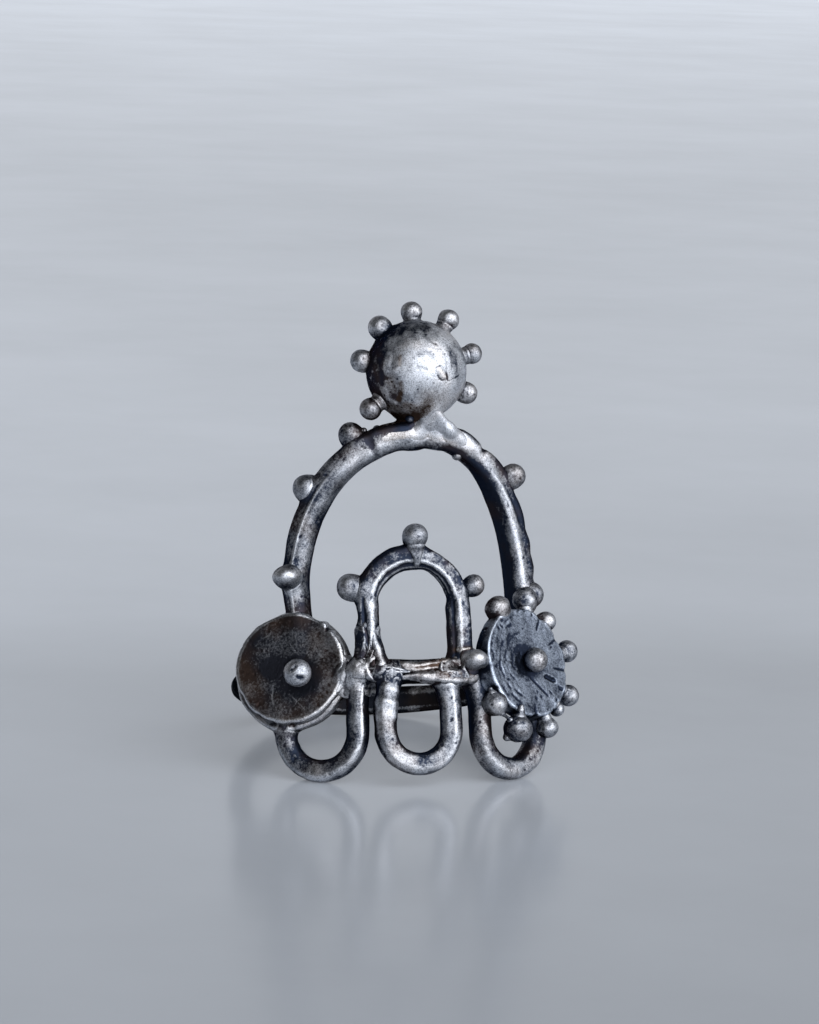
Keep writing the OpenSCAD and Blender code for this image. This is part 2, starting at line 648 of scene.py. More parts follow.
def globe(owner: str, centre: Floats, radius: Union[float, Floats], axis: Floats, rows: int = 28,
          columns: int = 40) -> Skin:
    """Ball, or an egg with three radii: across, across and along the axis, by latitude and longitude.

    Args:
        owner: name of the skin.
        centre: its middle.
        radius: its radius or radii.
        axis: direction from its foot to its top.
        rows: rings of points between the two tips.
        columns: points to a ring.

    Returns:
        The skin.
    """
    along = unit(np.asarray(axis, float))
    across = unit(np.cross(along, [0.31, 0.17, 0.94]))
    beside = np.cross(along, across)
    sizes = np.broadcast_to(radius, 3)
    lat = np.linspace(0, np.pi, rows + 2)[1:-1, None, None]
    lon = np.linspace(0, 2 * np.pi, columns, endpoint=False)[None, :, None]
    grid = centre + (np.sin(lat) * (np.cos(lon) * sizes[0] * across + np.sin(lon) * sizes[1] * beside)
                     + np.cos(lat) * sizes[2] * along)
    return capped(owner, grid, [centre + along * sizes[2], centre - along * sizes[2]])


@dataclass
class Fillet:
    """Solder that runs several pieces together round a point inside them.

    Args:
        owner: its name.
        centre: the point.
        reach: how far it goes to the right, to the back and along the finger, where it dips into the pieces.
        solids: the pieces that it joins.
        blend: how wide it runs between two of them.
        dip: how deep it dips.
        passes: how often the way along a ray is taken further.
    """

    owner: str
    centre: Floats
    reach: Three
    solids: list[Solid]
    blend: float = 0.8
    dip: float = 0.07
    passes: int = 22

    def skin(self, rows: int = 110, columns: int = 190) -> Skin:
        """Skin whose every point lies on a ray from the centre, where the ray leaves the joined pieces.

        The way along a ray grows by the distance that is still left to the surface, until there is none.

        Args:
            rows: rings of rays.
            columns: rays to a ring.

        Returns:
            The skin.
        """
        lat = np.linspace(0, np.pi, rows + 2)[1:-1, None]
        lon = np.linspace(0, 2 * np.pi, columns, endpoint=False)[None]
        ways = np.stack([np.sin(lat) * np.cos(lon), np.broadcast_to(np.cos(lat), (rows, columns)),
                         np.sin(lat) * np.sin(lon)], -1).reshape(-1, 3)
        ways = np.concatenate([ways, [[0, 1.0, 0], [0, -1.0, 0]]])
        limit = 1 / np.linalg.norm(ways / np.array(self.reach), axis=1)
        far = np.zeros(len(ways))
        for _ in range(self.passes):
            left = fused(self.centre + far[:, None] * ways, self.solids, self.blend)
            far = np.clip(far - left, 0.05, limit)
        far = far - self.dip * smooth(far / limit, 0.75, 0.95)
        points = self.centre + far[:, None] * ways
        return capped(self.owner, points[:-2].reshape(rows, columns, 3), points[-2:])


# Wires


@dataclass
class Wire:
    """Hammered wire along a path. Its section is worked over row by row before it gets its skin.

    Args:
        owner: name of the wire.
        path: its middle line, rows by 3.
        out: direction at each row from which the section's angle is counted.
        radius: mean radius.
        turns: points round the section.
    """

    owner: str
    path: Floats
    out: Floats
    radius: float
    turns: int = 60
    width: Floats = field(init=False)
    soot: Floats = field(init=False)
    rub: Floats = field(init=False)

    def __post_init__(self) -> None:
        """Starts round and clean."""
        self.width = np.full((len(self.path), self.turns), self.radius)
        self.soot, self.rub = np.zeros_like(self.width), np.zeros_like(self.width)

    @property
    def along(self) -> Floats:
        """Length of the wire from its first row to each row."""
        return np.concatenate([[0], np.cumsum(np.linalg.norm(np.diff(self.path, axis=0), axis=1))])

    def forge(self, power: Floats, twist: Floats = 0.0) -> "Wire":
        """Squares the section: 1 / (|cos|^n + |sin|^n)^(1/n), turned by a twist in degrees, mean kept.

        Args:
            power: n at each row: 2 is round, more is squarer.
            twist: the twist at each row.

        Returns:
            The wire itself.
        """
        turn = np.radians(np.linspace(0, 360, self.turns, endpoint=False)[None]
                          - np.broadcast_to(twist, len(self.path))[:, None])
        n = np.broadcast_to(power, len(self.path))[:, None]
        shape = (np.abs(np.cos(turn)) ** n + np.abs(np.sin(turn)) ** n) ** (-1 / n)
        self.width *= shape / shape.mean(1, keepdims=True)
        return self

    def tool(self, rows: Floats, angle: float, spread: float, height: float, soot: float = 0.0,
             rub: float = 0.0) -> "Wire":
        """Raises or cuts the section within a spread of an angle, on rows weighted from 0 to 1.

        Args:
            rows: weight of each row.
            angle: middle of the stroke, in degrees.
            spread: degrees from the middle at which it fades out.
            height: how far it is raised, or cut if negative.
            soot: darkening added.
            rub: brightening added.

        Returns:
            The wire itself.
        """
        away = (np.linspace(0, 360, self.turns, endpoint=False) - angle + 180) % 360 - 180
        share = np.asarray(rows)[:, None] * hump(away, 0, spread)[None]
        self.width += share * height
        self.soot += share * soot
        self.rub += share * rub
        return self

    def work(self, strokes: Iterable[tuple]) -> "Wire":
        """Uses the tool once for each stroke.

        Args:
            strokes: rows, angle, spread and height of each, then soot and rub if it has them.

        Returns:
            The wire itself.
        """
        for stroke in strokes:
            self.tool(*stroke)
        return self

    def solid(self, weld: float = 0.8) -> Rod:
        """Plain rod that stands for the wire where others meet it.

        Args:
            weld: how wide solder runs beside it.

        Returns:
            The rod.
        """
        path = even(self.path, ROD_STEP)
        share = np.linspace(0, 1, len(path))
        radius = np.interp(share, np.linspace(0, 1, len(self.path)), self.width.mean(1))
        return Rod(self.owner, path, radius * 0.98, weld)

    def skin(self) -> Skin:
        """Skin of the worked wire, with half balls at its ends.

        Point (i, j) is path_i + width_ij (cos a_j out_i + sin a_j side_i).

        Returns:
            The skin.
        """
        ahead = unit(np.gradient(self.path, axis=0))
        out = unit(self.out - ahead * np.einsum("ij,ij->i", self.out, ahead)[:, None])
        side = np.cross(ahead, out)
        dome = np.radians(np.linspace(80, 10, 7))
        middles, widths = [self.path], [self.width]
        for row, sign in ((0, -1), (-1, 1)):
            size = self.width[row].mean()
            steps = self.path[row] + sign * ahead[row] * size * np.sin(dome)[:, None]
            sizes = self.width[row] * np.cos(dome)[:, None]
            middles = [steps, *middles] if sign < 0 else [*middles, steps[::-1]]
            widths = [sizes, *widths] if sign < 0 else [*widths, sizes[::-1]]
        pad = ((len(dome), len(dome)), (0, 0))
        outs, sides = np.pad(out, pad, "edge"), np.pad(side, pad, "edge")
        turn = np.linspace(0, 2 * np.pi, self.turns, endpoint=False)[None, :, None]
        spokes = np.cos(turn) * outs[:, None] + np.sin(turn) * sides[:, None]
        grid = np.concatenate(middles)[:, None] + np.concatenate(widths)[..., None] * spokes
        tips = [self.path[0] - ahead[0] * self.width[0].mean(),
                self.path[-1] + ahead[-1] * self.width[-1].mean()]
        skin = capped(self.owner, grid, tips)
        skin.soot = np.append(np.pad(self.soot, pad, "edge"), [0, 0])
        skin.rub = np.append(np.pad(self.rub, pad, "edge"), [0, 0])
        return skin


def radial(points: Floats) -> Floats:
    """Directions away from the finger's axis."""
    return unit(points * [1, 1, 0])


def stub(owner: str, start: Floats, end: Floats, radii: tuple[float, ...], turns: int = 28) -> Wire:
    """Short wire between two points, with a radius at equal steps along it.

    Args:
        owner: name of the wire.
        start: its first point.
        end: its last point.
        radii: the radii.
        turns: points round its section.

    Returns:
        The wire.
    """
    start, end = np.asarray(start, float), np.asarray(end, float)
    rows = max(int(np.linalg.norm(end - start) / WIRE_STEP), 10)
    share = np.linspace(0, 1, rows)
    path = start + share[:, None] * (end - start)
    across = np.cross(end - start, [0.2, 0.9, 0.4])
    wire = Wire(owner, path, np.broadcast_to(unit(across), path.shape), 1.0, turns)
    size = np.interp(share, np.linspace(0, 1, len(radii)), radii)
    wire.width *= size[:, None]
    return wire


def strip(owner: str, corners: list[Three], radii: tuple[float, ...],
          turns: int = 52) -> Wire:
    """Wire over corners given by azimuth, distance and height, with a radius at equal steps along it.

    Args:
        owner: name of the wire.
        corners: the corners.
        radii: the radii.
        turns: points round its section.

    Returns:
        The wire.
    """
    path = even(bent(np.array([at(*corner) for corner in corners])), WIRE_STEP)
    wire = Wire(owner, path, radial(path), 1.0, turns)
    size = np.interp(np.linspace(0, 1, len(path)), np.linspace(0, 1, len(radii)), radii)
    wire.width *= size[:, None]
    return wire


@dataclass
class Grain:
    """Grain of melted silver: an egg a little flat towards its foot.

    Args:
        owner: its name.
        centre: its middle.
        size: its thickness.
        foot: direction to what it sits on.
        flat: how much flatter it is that way.
        high: its height along the finger, less than 1 if it sagged.
    """

    owner: str
    centre: Floats
    size: float
    foot: Floats
    flat: float = 0.05
    high: float = 1.0

    def solid(self, weld: float = 0.4) -> Bead:
        """Round bead that stands for the grain where others meet it."""
        return Bead(self.owner, np.asarray(self.centre, float), self.size / 2, weld)

    def skin(self) -> Skin:
        """Skin of the egg.

        Returns:
            The skin.
        """
        wide, low = self.size / 2 * (1 + self.flat / 2), self.size / 2 * (1 - self.flat)
        skin = globe(self.owner, self.centre, (wide, wide, low), self.foot, 34, 48)
        skin.points = self.centre + (skin.points - self.centre) * [1, 1, self.high]
        return skin


@dataclass
class Work:
    """How strongly a surface is hammered.

    Args:
        lumps: height of its lumps.
        lump_size: size of the largest of them.
        pits: depth of its pits.
        pit_size: distance between the places where there may be one.
        pitted: share of those places that have one.
        seed: number from which the chance starts.
        solder: whether solder is laid at the joints.
    """

    lumps: float = 0.03
    lump_size: float = 1.3
    pits: float = 0.05
    pit_size: float = 0.5
    pitted: float = 0.3
    seed: int = 1
    solder: bool = True

    def on(self, skin: Skin, metal: Metalwork) -> Skin:
        """Lumps and pits the skin, lays the solder, darkens the hollows with patina and painted shade, and
        rubs the crests.

        Args:
            skin: the skin.
            metal: all the pieces' solids.

        Returns:
            The skin itself.
        """
        points = skin.points
        lump = rough(points, self.lump_size, self.seed, 4)
        first, _, number = cells(points + 0.3 * lump[:, None], self.pit_size, self.seed + 50)
        pit = smooth(0.36 - first, 0.0, 0.3) * (number < self.pitted)
        skin.swell(self.lumps * lump - self.pits * pit)
        skin.soot += 0.25 * pit
        skin.rub += 0.3 * lump
        return skin.settle(metal, self.solder)

    def each(self, parts: Iterable[Union[Wire, Grain]], metal: Metalwork) -> list[Skin]:
        """Worked skins of several parts, the first with this seed and every other with the next one."""
        return [replace(self, seed=self.seed + k).on(part.skin(), metal) for k, part in enumerate(parts)]


# Where the ring lies and where it is seen from


@dataclass(frozen=True)
class Seat:
    """Place of the finger's frame in the row's: its origin in metres, and its directions as rows."""

    origin: Floats
    axes: Floats
    bore: float

    @classmethod
    def of(cls, record: dict) -> "Seat":
        """Seat of the finger's hole: its axis leaves the band away from the crown.

        Args:
            record: the record.

        Returns:
            The seat.
        """
        hole = next(mount for mount in record["mounts"] if mount["name"] == "finger_hole")
        along = -np.array(hole["axis"])
        right = np.array([1.0, 0.0, 0.0])
        return cls(np.array(hole["pos_m"]), np.stack([right, np.cross(along, right), along]),
                   hole["dims"]["r_mm"])

    def lay(self, points: Floats) -> Floats:
        """Points of the finger's frame, in mm, as points of the row's frame, in metres."""
        return self.origin + MM * points @ self.axes


@dataclass(frozen=True)
class View:
    """Place of the eye in the row's frame in mm, and its heading, pitch and roll in degrees."""

    eye: Three = (-55.58, -243.49, 59.54)
    heading: float = 13.0
    pitch: float = 10.0
    roll: float = 2.1
    lens: float = 140.625
    sensor: float = 36.0

    def axes(self) -> Floats:
        """Right, up and forward directions in the row's frame, as rows.

        Returns:
            The three directions.
        """
        h, p, r = np.radians([self.heading, self.pitch, self.roll])
        level = np.array([np.cos(h), -np.sin(h), 0])
        rise = np.array([np.sin(h) * np.sin(p), np.cos(h) * np.sin(p), np.cos(p)])
        ahead = np.array([np.sin(h) * np.cos(p), np.cos(h) * np.cos(p), -np.sin(p)])
        return np.stack([np.cos(r) * level + np.sin(r) * rise, np.cos(r) * rise - np.sin(r) * level, ahead])

    def matrix(self) -> Matrix:
        """Placing of a camera that looks along its own -Z.

        Returns:
            The matrix.
        """
        right, up, ahead = self.axes()
        frame4 = np.eye(4)
        frame4[:3] = np.stack([right, up, -ahead, np.array(self.eye) * MM], -1)
        return Matrix(frame4.tolist())


SEAT = Seat.of(frame["record"])
VIEW = View()


def sight(centre: Floats) -> Face:
    """Plane through a centre that squarely faces the eye: its marks are given as they are seen."""
    right, up, ahead = VIEW.axes() @ SEAT.axes.T
    return Face(np.asarray(centre, float), right, up, -ahead)


# The pieces


@dataclass
class Piece:
    """A piece of the ring, with the solids that others meet and the skins that are seen."""

    name: str = "piece"

    def solids(self) -> list[Solid]:
        """Solids of the piece."""
        return []

    def skins(self, metal: Metalwork) -> list[Skin]:
        """Worked skins of the piece."""
        return []


@dataclass
class Band(Piece):
    """Slim band round the finger, flat inside."""

    name: str = "band"
    wire: float = 1.5
    flat: float = 0.6
    rise: float = 0.4
    back: float = 0.36

    def line(self, azimuth: Floats) -> Floats:
        """Middle line, whose two sides rise a little: rise sin^2 of the azimuth."""
        return at(azimuth, SEAT.bore + self.flat, self.rise * np.sin(np.radians(azimuth)) ** 2)

    def solids(self) -> list[Solid]:
        """The band's wire."""
        return [Rod("band", self.line(np.arange(0.0, 361.0, 6)), self.wire / 2 - 0.02)]

    def skins(self, metal: Metalwork) -> list[Skin]:
        """Closed ring: line + width (cos a out + sin a up), where the width stops at the flat inside.

        Args:
            metal: all the pieces' solids.

        Returns:
            The band's skin.
        """
        rows, columns = 700, 52
        azimuth = np.linspace(0, 360, rows, endpoint=False)
        turn = np.linspace(0, 2 * np.pi, columns, endpoint=False)
        width = np.minimum(self.wire / 2, self.flat / np.maximum(-np.cos(turn), 1e-6))
        rear = hump(azimuth, 180, 60)[:, None] * hump(np.degrees(turn), 90, 80)[None]
        line, out = self.line(azimuth), at(azimuth, 1.0, 0.0)
        grid = line[:, None] + (width[None] + self.back * rear)[..., None] * (
            np.cos(turn)[None, :, None] * out[:, None] + np.sin(turn)[None, :, None] * np.array([0, 0, 1.0]))
        skin = Skin("band", grid.reshape(-1, 3), shingles(rows, columns, True), np.zeros((0, 3), int))
        Work(lumps=0.02, pits=0.03, seed=11).on(skin, metal)
        skin.soot += 0.2 * smooth(-skin.points[:, 1], -2.0, 4.0)
        return [skin]


@dataclass
class FrontBar(Piece):
    """Two pointed strips that overlap in front of the band.

    Args:
        spots: the runs of solder on it. Each has its azimuth, distance and height, its reach, its blend and
            the depth of its pits.
    """

    name: str = "front_bar"
    spots: tuple[tuple[tuple[float, ...], Three, float, float], ...] = (
        ((-24.2, 9.85, -0.2), (1.9, 1.2, 1.5), 0.8, 0.0), ((-12.6, 10.0, -0.3), (1.2, 1.0, 1.4), 0.6, 0.04),
        ((10.5, 10.0, -0.3), (1.3, 1.0, 1.3), 0.6, 0.04), ((16.2, 9.8, 0.4), (1.2, 1.0, 1.6), 0.6, 0.04))

    def wires(self) -> list[Wire]:
        """Tongue from the left disc, strip to the right under it, and a thin strip above both.

        Returns:
            The three wires.
        """
        tongue = strip("bar_tongue", [
            (-27.5, 9.72, -0.1), (-22.3, 9.98, 0.0), (-17.0, 10.22, 0.04), (-12, 10.32, 0.06),
            (-5, 10.35, -0.1)], (0.7, 0.56, 0.46, 0.42, 0.3, 0.06))
        lower = strip("bar_lower", [
            (-9.8, 10.3, -0.42), (-1.9, 10.25, -0.36), (6, 10.25, -0.42), (11.6, 10.3, -0.44),
            (18.5, 10.2, -0.38)], (0.06, 0.34, 0.5, 0.58, 0.4))
        upper = strip("bar_upper", [
            (-15, 9.9, 0.28), (-10.4, 9.95, 0.36), (-2.9, 10.1, 0.16), (3, 10.1, 0.28), (9.9, 10.0, 0.4),
            (18.8, 9.9, 0.5)], (0.3, 0.34, 0.34, 0.42, 0.36, 0.5))
        for wire, power, twist, groove, shine in (
                (tongue, 2.6, 40, 0.12, 0.3), (lower, 2.8, 90, 0.0, 0.3), (upper, 2.6, -60, 0.05, 0.0)):
            along = wire.along / wire.along[-1]
            middle = hump(along, 0.62, 0.42)
            wire.forge(power, 20 + twist * along)
            wire.work([(middle, 2, 22, -groove, 8 * groove), (middle, 35, 22, 0.02, 0, shine),
                       (middle, 300, 50, 0.0, 0.5), (middle, 85, 40, 0.0, 0.5)])
        return [tongue, lower, upper]

    def solids(self) -> list[Solid]:
        """The strips."""
        return [wire.solid(0.7) for wire in self.wires()]

    def weld(self, k: int, metal: Metalwork) -> Skin:
        """One run of solder, kept off the left disc's face and rim.

        Args:
            k: number of the run, from the left.
            metal: all the pieces' solids.

        Returns:
            Its skin.
        """
        place, reach, blend, pits = self.spots[k]
        centre = at(*place)
        near = [replace(solid, front=-0.14, radius=solid.radius - 0.05)
                if solid.owner == "left_front" else solid for solid in metal.around(centre, reach)]
        weld = Fillet(f"bar_weld_{k}", centre, reach, near, blend).skin()
        return Work(lumps=0.03, lump_size=0.9, pits=pits, seed=26 + k, solder=False).on(weld, metal)

    def skins(self, metal: Metalwork) -> list[Skin]:
        """The strips, and the solder that runs them into the disc, the loops and the arch.

        Args:
            metal: all the pieces' solids.

        Returns:
            The three strips, then the four runs of solder from left to right.
        """
        tongue, lower, upper = Work(lumps=0.07, lump_size=0.8, pits=0.06, pit_size=0.45, pitted=0.4, seed=21,
                                    solder=False).each(self.wires(), metal)
        at_disc, at_loop_left, at_loop_right, at_arch = (self.weld(k, metal) for k in range(len(self.spots)))
        upper.warm += 0.8
        lower.rub += 0.1
        lower.warm += 0.5
        at_disc.rub += 0.45
        at_disc.soot *= 0.5
        at_loop_left.soot += 0.35
        at_arch.soot += 0.6
        return [tongue, lower, upper, at_disc, at_loop_left, at_loop_right, at_arch]


@dataclass
class LargeArch(Piece):
    """Tall arch, squared by the hammer on its top and shoulders and rounder down its legs.

    Args:
        half: half its width between the legs' middles.
        leg: length of its straight legs.
        rise: height of its oval over the legs.
        wire_d: thickness of its wire.
        across: how far its middle lies to the right of the band's front, along the wall.
        back: how far its left leg stands back behind the wall, behind the left disc.
    """

    name: str = "large_arch"
    half: float = 8.15
    leg: float = 5.0
    rise: float = 9.9
    wire_d: float = 1.66
    across: float = 0.12
    back: float = 0.45

    def wire(self) -> Wire:
        """The arch's wire. Its section's angle 0 faces out, 90 the window and 270 the outline.

        Returns:
            The wire.
        """
        flat = horseshoe(self.half, self.leg, self.rise, step=0.085)
        x, y = flat[:, 0], flat[:, 1]
        distance = WALL - self.back * (x < 0) * (1 - smooth(y, 2.6, 6.4))
        path = on_wall(self.across + x, y, distance)
        wire = Wire("large_arch", path, radial(path), self.wire_d / 2, 66)
        top = smooth(y, 5.5, 10)
        left, right = (x < 0) * 1.0, (x > 0) * 1.0
        crown = smooth(y, 12.2, 14.2)
        crown_left = crown * smooth(1.4 - x, 0, 1)
        legs = smooth(13.5 - y, 0, 2.5)
        wire.forge(2.1 + 0.9 * top + 0.8 * crown, 6 + 10 * crown)
        return wire.work([
            (crown_left, 314, 62, 0.0, 0.8), (crown_left, 40, 38, 0.05, -0.15, 0.4),
            (crown_left, 98, 34, 0.0, 0.35),
            (crown * smooth(x, -0.9, 0.3) * smooth(2.6 - x, 0, 1), 68, 42, -0.05, 0.75),
            (hump(x, -2.75, 0.35) * (y > 12), 20, 75, -0.09, 0.7),
            (hump(x, -3.6, 1.2) * (y > 11), 350, 50, 0.09, 0.0, 0.2),
            (smooth(y, 11, 13) * right, 2, 40, 0.05, -0.1, 0.45),
            (smooth(y, 9, 12) * smooth(x, 1.2, 3.0), 62, 40, -0.05, 0.9),
            (legs * left, 320, 40, 0.0, 0.6), (legs * left, 12, 11, 0.05, 0.0, 0.5),
            (legs * left, 60, 45, -0.02, 0.12, 0.1), (legs * left, 120, 35, 0.0, 0.6),
            (legs * right, 125, 50, -0.06, 1.1), (legs * right, 44, 22, 0.04, -0.1, 0.35),
            (legs * right, 345, 45, 0.0, 0.3), (hump(y, 11.2, 2.6) * right, 20, 14, 0.05, 0.0, 0.6),
            (hump(x, 2.9, 1.2) * (y > 9), 312, 40, 0.17, 1.1),
            (hump(x, 4.05, 0.3) * (y > 9), 320, 60, -0.14, 0.9),
            (hump(x, 5.2, 1.2) * (y > 9), 312, 42, 0.2, 1.1),
            (hump(y, 10.1, 1.5) * right, 325, 36, 0.14, 1.0), (hump(y, 8.3, 0.8) * right, 335, 40, 0.1, 0.5),
            (hump(y, 6.9, 0.8) * right, 335, 40, 0.1, 0.3),
            (hump(x, -3.1, 5.2) * smooth(y, 5.5, 9.5), 108, 62, 0.29), (legs * right, 152, 50, 0.16),
            (hump(x, 3.7, 2.2) * smooth(y, 8, 10), 100, 55, -0.14),
            (hump(y, 9.5, 4.5) * left, 110, 60, 0.1), (hump(y, 6.8, 2.6) * right, 310, 60, 0.14)])

    def crumbs(self) -> list[Grain]:
        """Two small beads of silver left on the arch, over its left shoulder and under its right one.

        Returns:
            The beads.
        """
        top = sight(on_wall(self.across, 14.9))
        return [Grain("crumb_left", top.point(-2.3, 0.2, 0.25), 0.34, -top.up),
                Grain("crumb_right", on_wall(self.across + 2.8, 13.64, 9.8), 0.4, top.up)]

    def solids(self) -> list[Solid]:
        """The arch and its two crumbs."""
        return [self.wire().solid(), *(crumb.solid(0.2) for crumb in self.crumbs())]

    def skins(self, metal: Metalwork) -> list[Skin]:
        """The arch and its crumbs.

        Args:
            metal: all the pieces' solids.

        Returns:
            Their skins.
        """
        arch = Work(lumps=0.05, lump_size=1.7, pits=0.04, pit_size=0.36, pitted=0.34, seed=31).on(
            self.wire().skin(), metal)
        clean = Ball().web(arch.points)[0]
        arch.swell(-0.16 * clean)
        arch.rub += 0.6 * clean
        arch.soot *= 1 - 0.8 * clean
        crumbs = [Work(lumps=0.01, seed=33).on(crumb.skin(), metal) for crumb in self.crumbs()]
        crumbs[1].soot += 0.4
        return [arch, *crumbs]


@dataclass
class SmallArch(Piece):
    """Low arch inside the large one, seamed along its top and cleft down its left leg.

    Args:
        half, leg, wire_d, across: as in the large arch.
        lean: how far its left leg leans in at its foot.
        crown_left: how far its crown leans to the left.
    """

    name: str = "small_arch"
    half: float = 2.94
    leg: float = 4.3
    wire_d: float = 1.46
    across: float = -0.3
    lean: float = 0.55
    crown_left: float = 0.07

    def wire(self) -> Wire:
        """The arch's wire, with the angles of the large one.

        Returns:
            The wire.
        """
        flat = horseshoe(self.half, self.leg, self.half, step=0.08)
        x, y = flat[:, 0], flat[:, 1]
        root = (x < 0) * (1 - smooth(y, 0.3, 2.8))
        shift = self.lean * root - self.crown_left * smooth(y, 3.0, 6.0)
        path = on_wall(self.across + x + shift, y, WALL + 0.25 * root)
        wire = Wire("small_arch", path, radial(path), self.wire_d / 2, 60)
        wire.width *= (1 - 0.2 * root)[:, None]
        wire.soot += 0.45 * root[:, None]
        top, low = smooth(y, 4.2, 5.8), smooth(4.8 - y, 0, 1)
        left, right = (x < -2.2) * low, (x > 2.2) * low
        wire.forge(2.1 + 0.7 * top, 10)
        return wire.work([
            (top, 312, 60, 0.0, 0.5), (top, 34, 14, 0.05, -0.1, 0.6), (top, 56, 10, -0.06, 0.8),
            (top, 82, 12, -0.08, 0.9), (left, 300, 60, 0.0, 0.7), (left, 350, 15, -0.14, 0.9),
            (left, 30, 26, 0.07, -0.1, 0.5), (left, 85, 35, 0.0, 0.4), (right, 100, 50, 0.0, 1.0),
            (right, 22, 18, 0.05, -0.1, 0.5), (right, 330, 40, 0.0, 0.35), (right, 55, 14, -0.06, 0.8),
            (smooth(y, 4.6, 6.4), 99, 60, 0.22), (hump(x, 1.9, 1.7) * smooth(y, 4.2, 5.2), 285, 62, -0.22),
            (right, 340, 50, 0.08), (left, 275, 50, -0.1), (right, 95, 55, 0.12),
            (hump(x, 1.9, 1.7) * smooth(y, 4.0, 5.4), 92, 55, -0.24)])

    def feet(self) -> list[Wire]:
        """Outer root beside the left leg, and the thread that closes the small hole between them.

        Returns:
            The root and the thread.
        """
        root = strip("foot_left", [
            (-19.6, 9.72, 2.8), (-20.4, 9.8, 1.9), (-21.9, 9.9, 1.1), (-22.6, 9.95, 0.2)],
            (0.56, 0.52, 0.46, 0.42, 0.5), 40)
        thread = strip("thread", [(-22.6, 10.2, 0.35), (-19.2, 10.25, 0.5), (-16.6, 10.2, 0.9)],
                       (0.24, 0.14, 0.2), 28)
        return [root, thread]

    def solids(self) -> list[Solid]:
        """The arch and its roots."""
        return [self.wire().solid(0.6), *(wire.solid(0.35) for wire in self.feet())]

    def skins(self, metal: Metalwork) -> list[Skin]:
        """The arch with a warm thread of solder at its right foot, and the torn solder at its left one.

        Args:
            metal: all the pieces' solids.

        Returns:
            The arch, the solder and the two roots.
        """
        arch = Work(lumps=0.06, lump_size=1.0, pits=0.045, pit_size=0.34, pitted=0.4, seed=41).on(
            self.wire().skin(), metal)
        arch.soot += 0.12
        right_foot = sight(at(-2, 10.05, 0.2))
        arch.mark(right_foot, [(2.4, 1.05), (3.3, 1.15)], 0.12, lift=0.03, soot=-0.5, rub=0.3, warm=2.5)
        arch.mark(right_foot, [(2.4, 0.6), (3.3, 0.7)], 0.4, soot=0.4, warm=-1.2)
        centre, reach = at(-19.2, 9.78, 1.45), (1.15, 0.9, 1.9)
        weld = Fillet("foot_weld", centre, reach, metal.around(centre, reach), 0.75).skin(100, 130)
        Work(lumps=0.08, lump_size=0.8, pits=0.06, seed=47, solder=False).on(weld, metal)
        left_foot = sight(centre)
        weld.mark(left_foot, [(-0.15, 1.5), (-0.05, 0.6), (-0.25, -0.3)], 0.2, lift=-0.1, soot=0.5, warm=0.5)
        weld.mark(left_foot, [(0.2, 1.6), (0.3, 0.4), (0.7, -0.7)], 0.2, lift=0.04, soot=-0.2, rub=0.3)
        weld.mark(left_foot, [(-0.5, 1.5), (-0.6, 0.2), (-0.9, -1.0)], 0.6, soot=0.6)
        outer, thread = Work(lumps=0.06, lump_size=0.7, seed=44).each(self.feet(), metal)
        outer.soot += 0.6
        return [arch, weld, outer, thread]


class Side(Enum):
    """Side on which a loop hangs, as its name says it."""

    LEFT = "loop_left"
    MIDDLE = "loop_middle"
    RIGHT = "loop_right"


@dataclass(frozen=True)
class Loop:
    """Measures of one hanging loop.

    Args:
        side: which one it is.
        half: half its width between the legs' middles, and the depth of its round end.
        azimuth: where it hangs.
        turn: azimuth that it faces.
        distance: its distance from the finger's axis.
        gap: room under it when the ring stands.
        lean: how far its legs lean in at their tops.
        tuck: how far they lean back there.
        seen: angle of the left leg's section that faces the eye.
    """

    side: Side
    half: float
    azimuth: float
    turn: float
    distance: float
    gap: float
    lean: float
    tuck: float
    seen: float


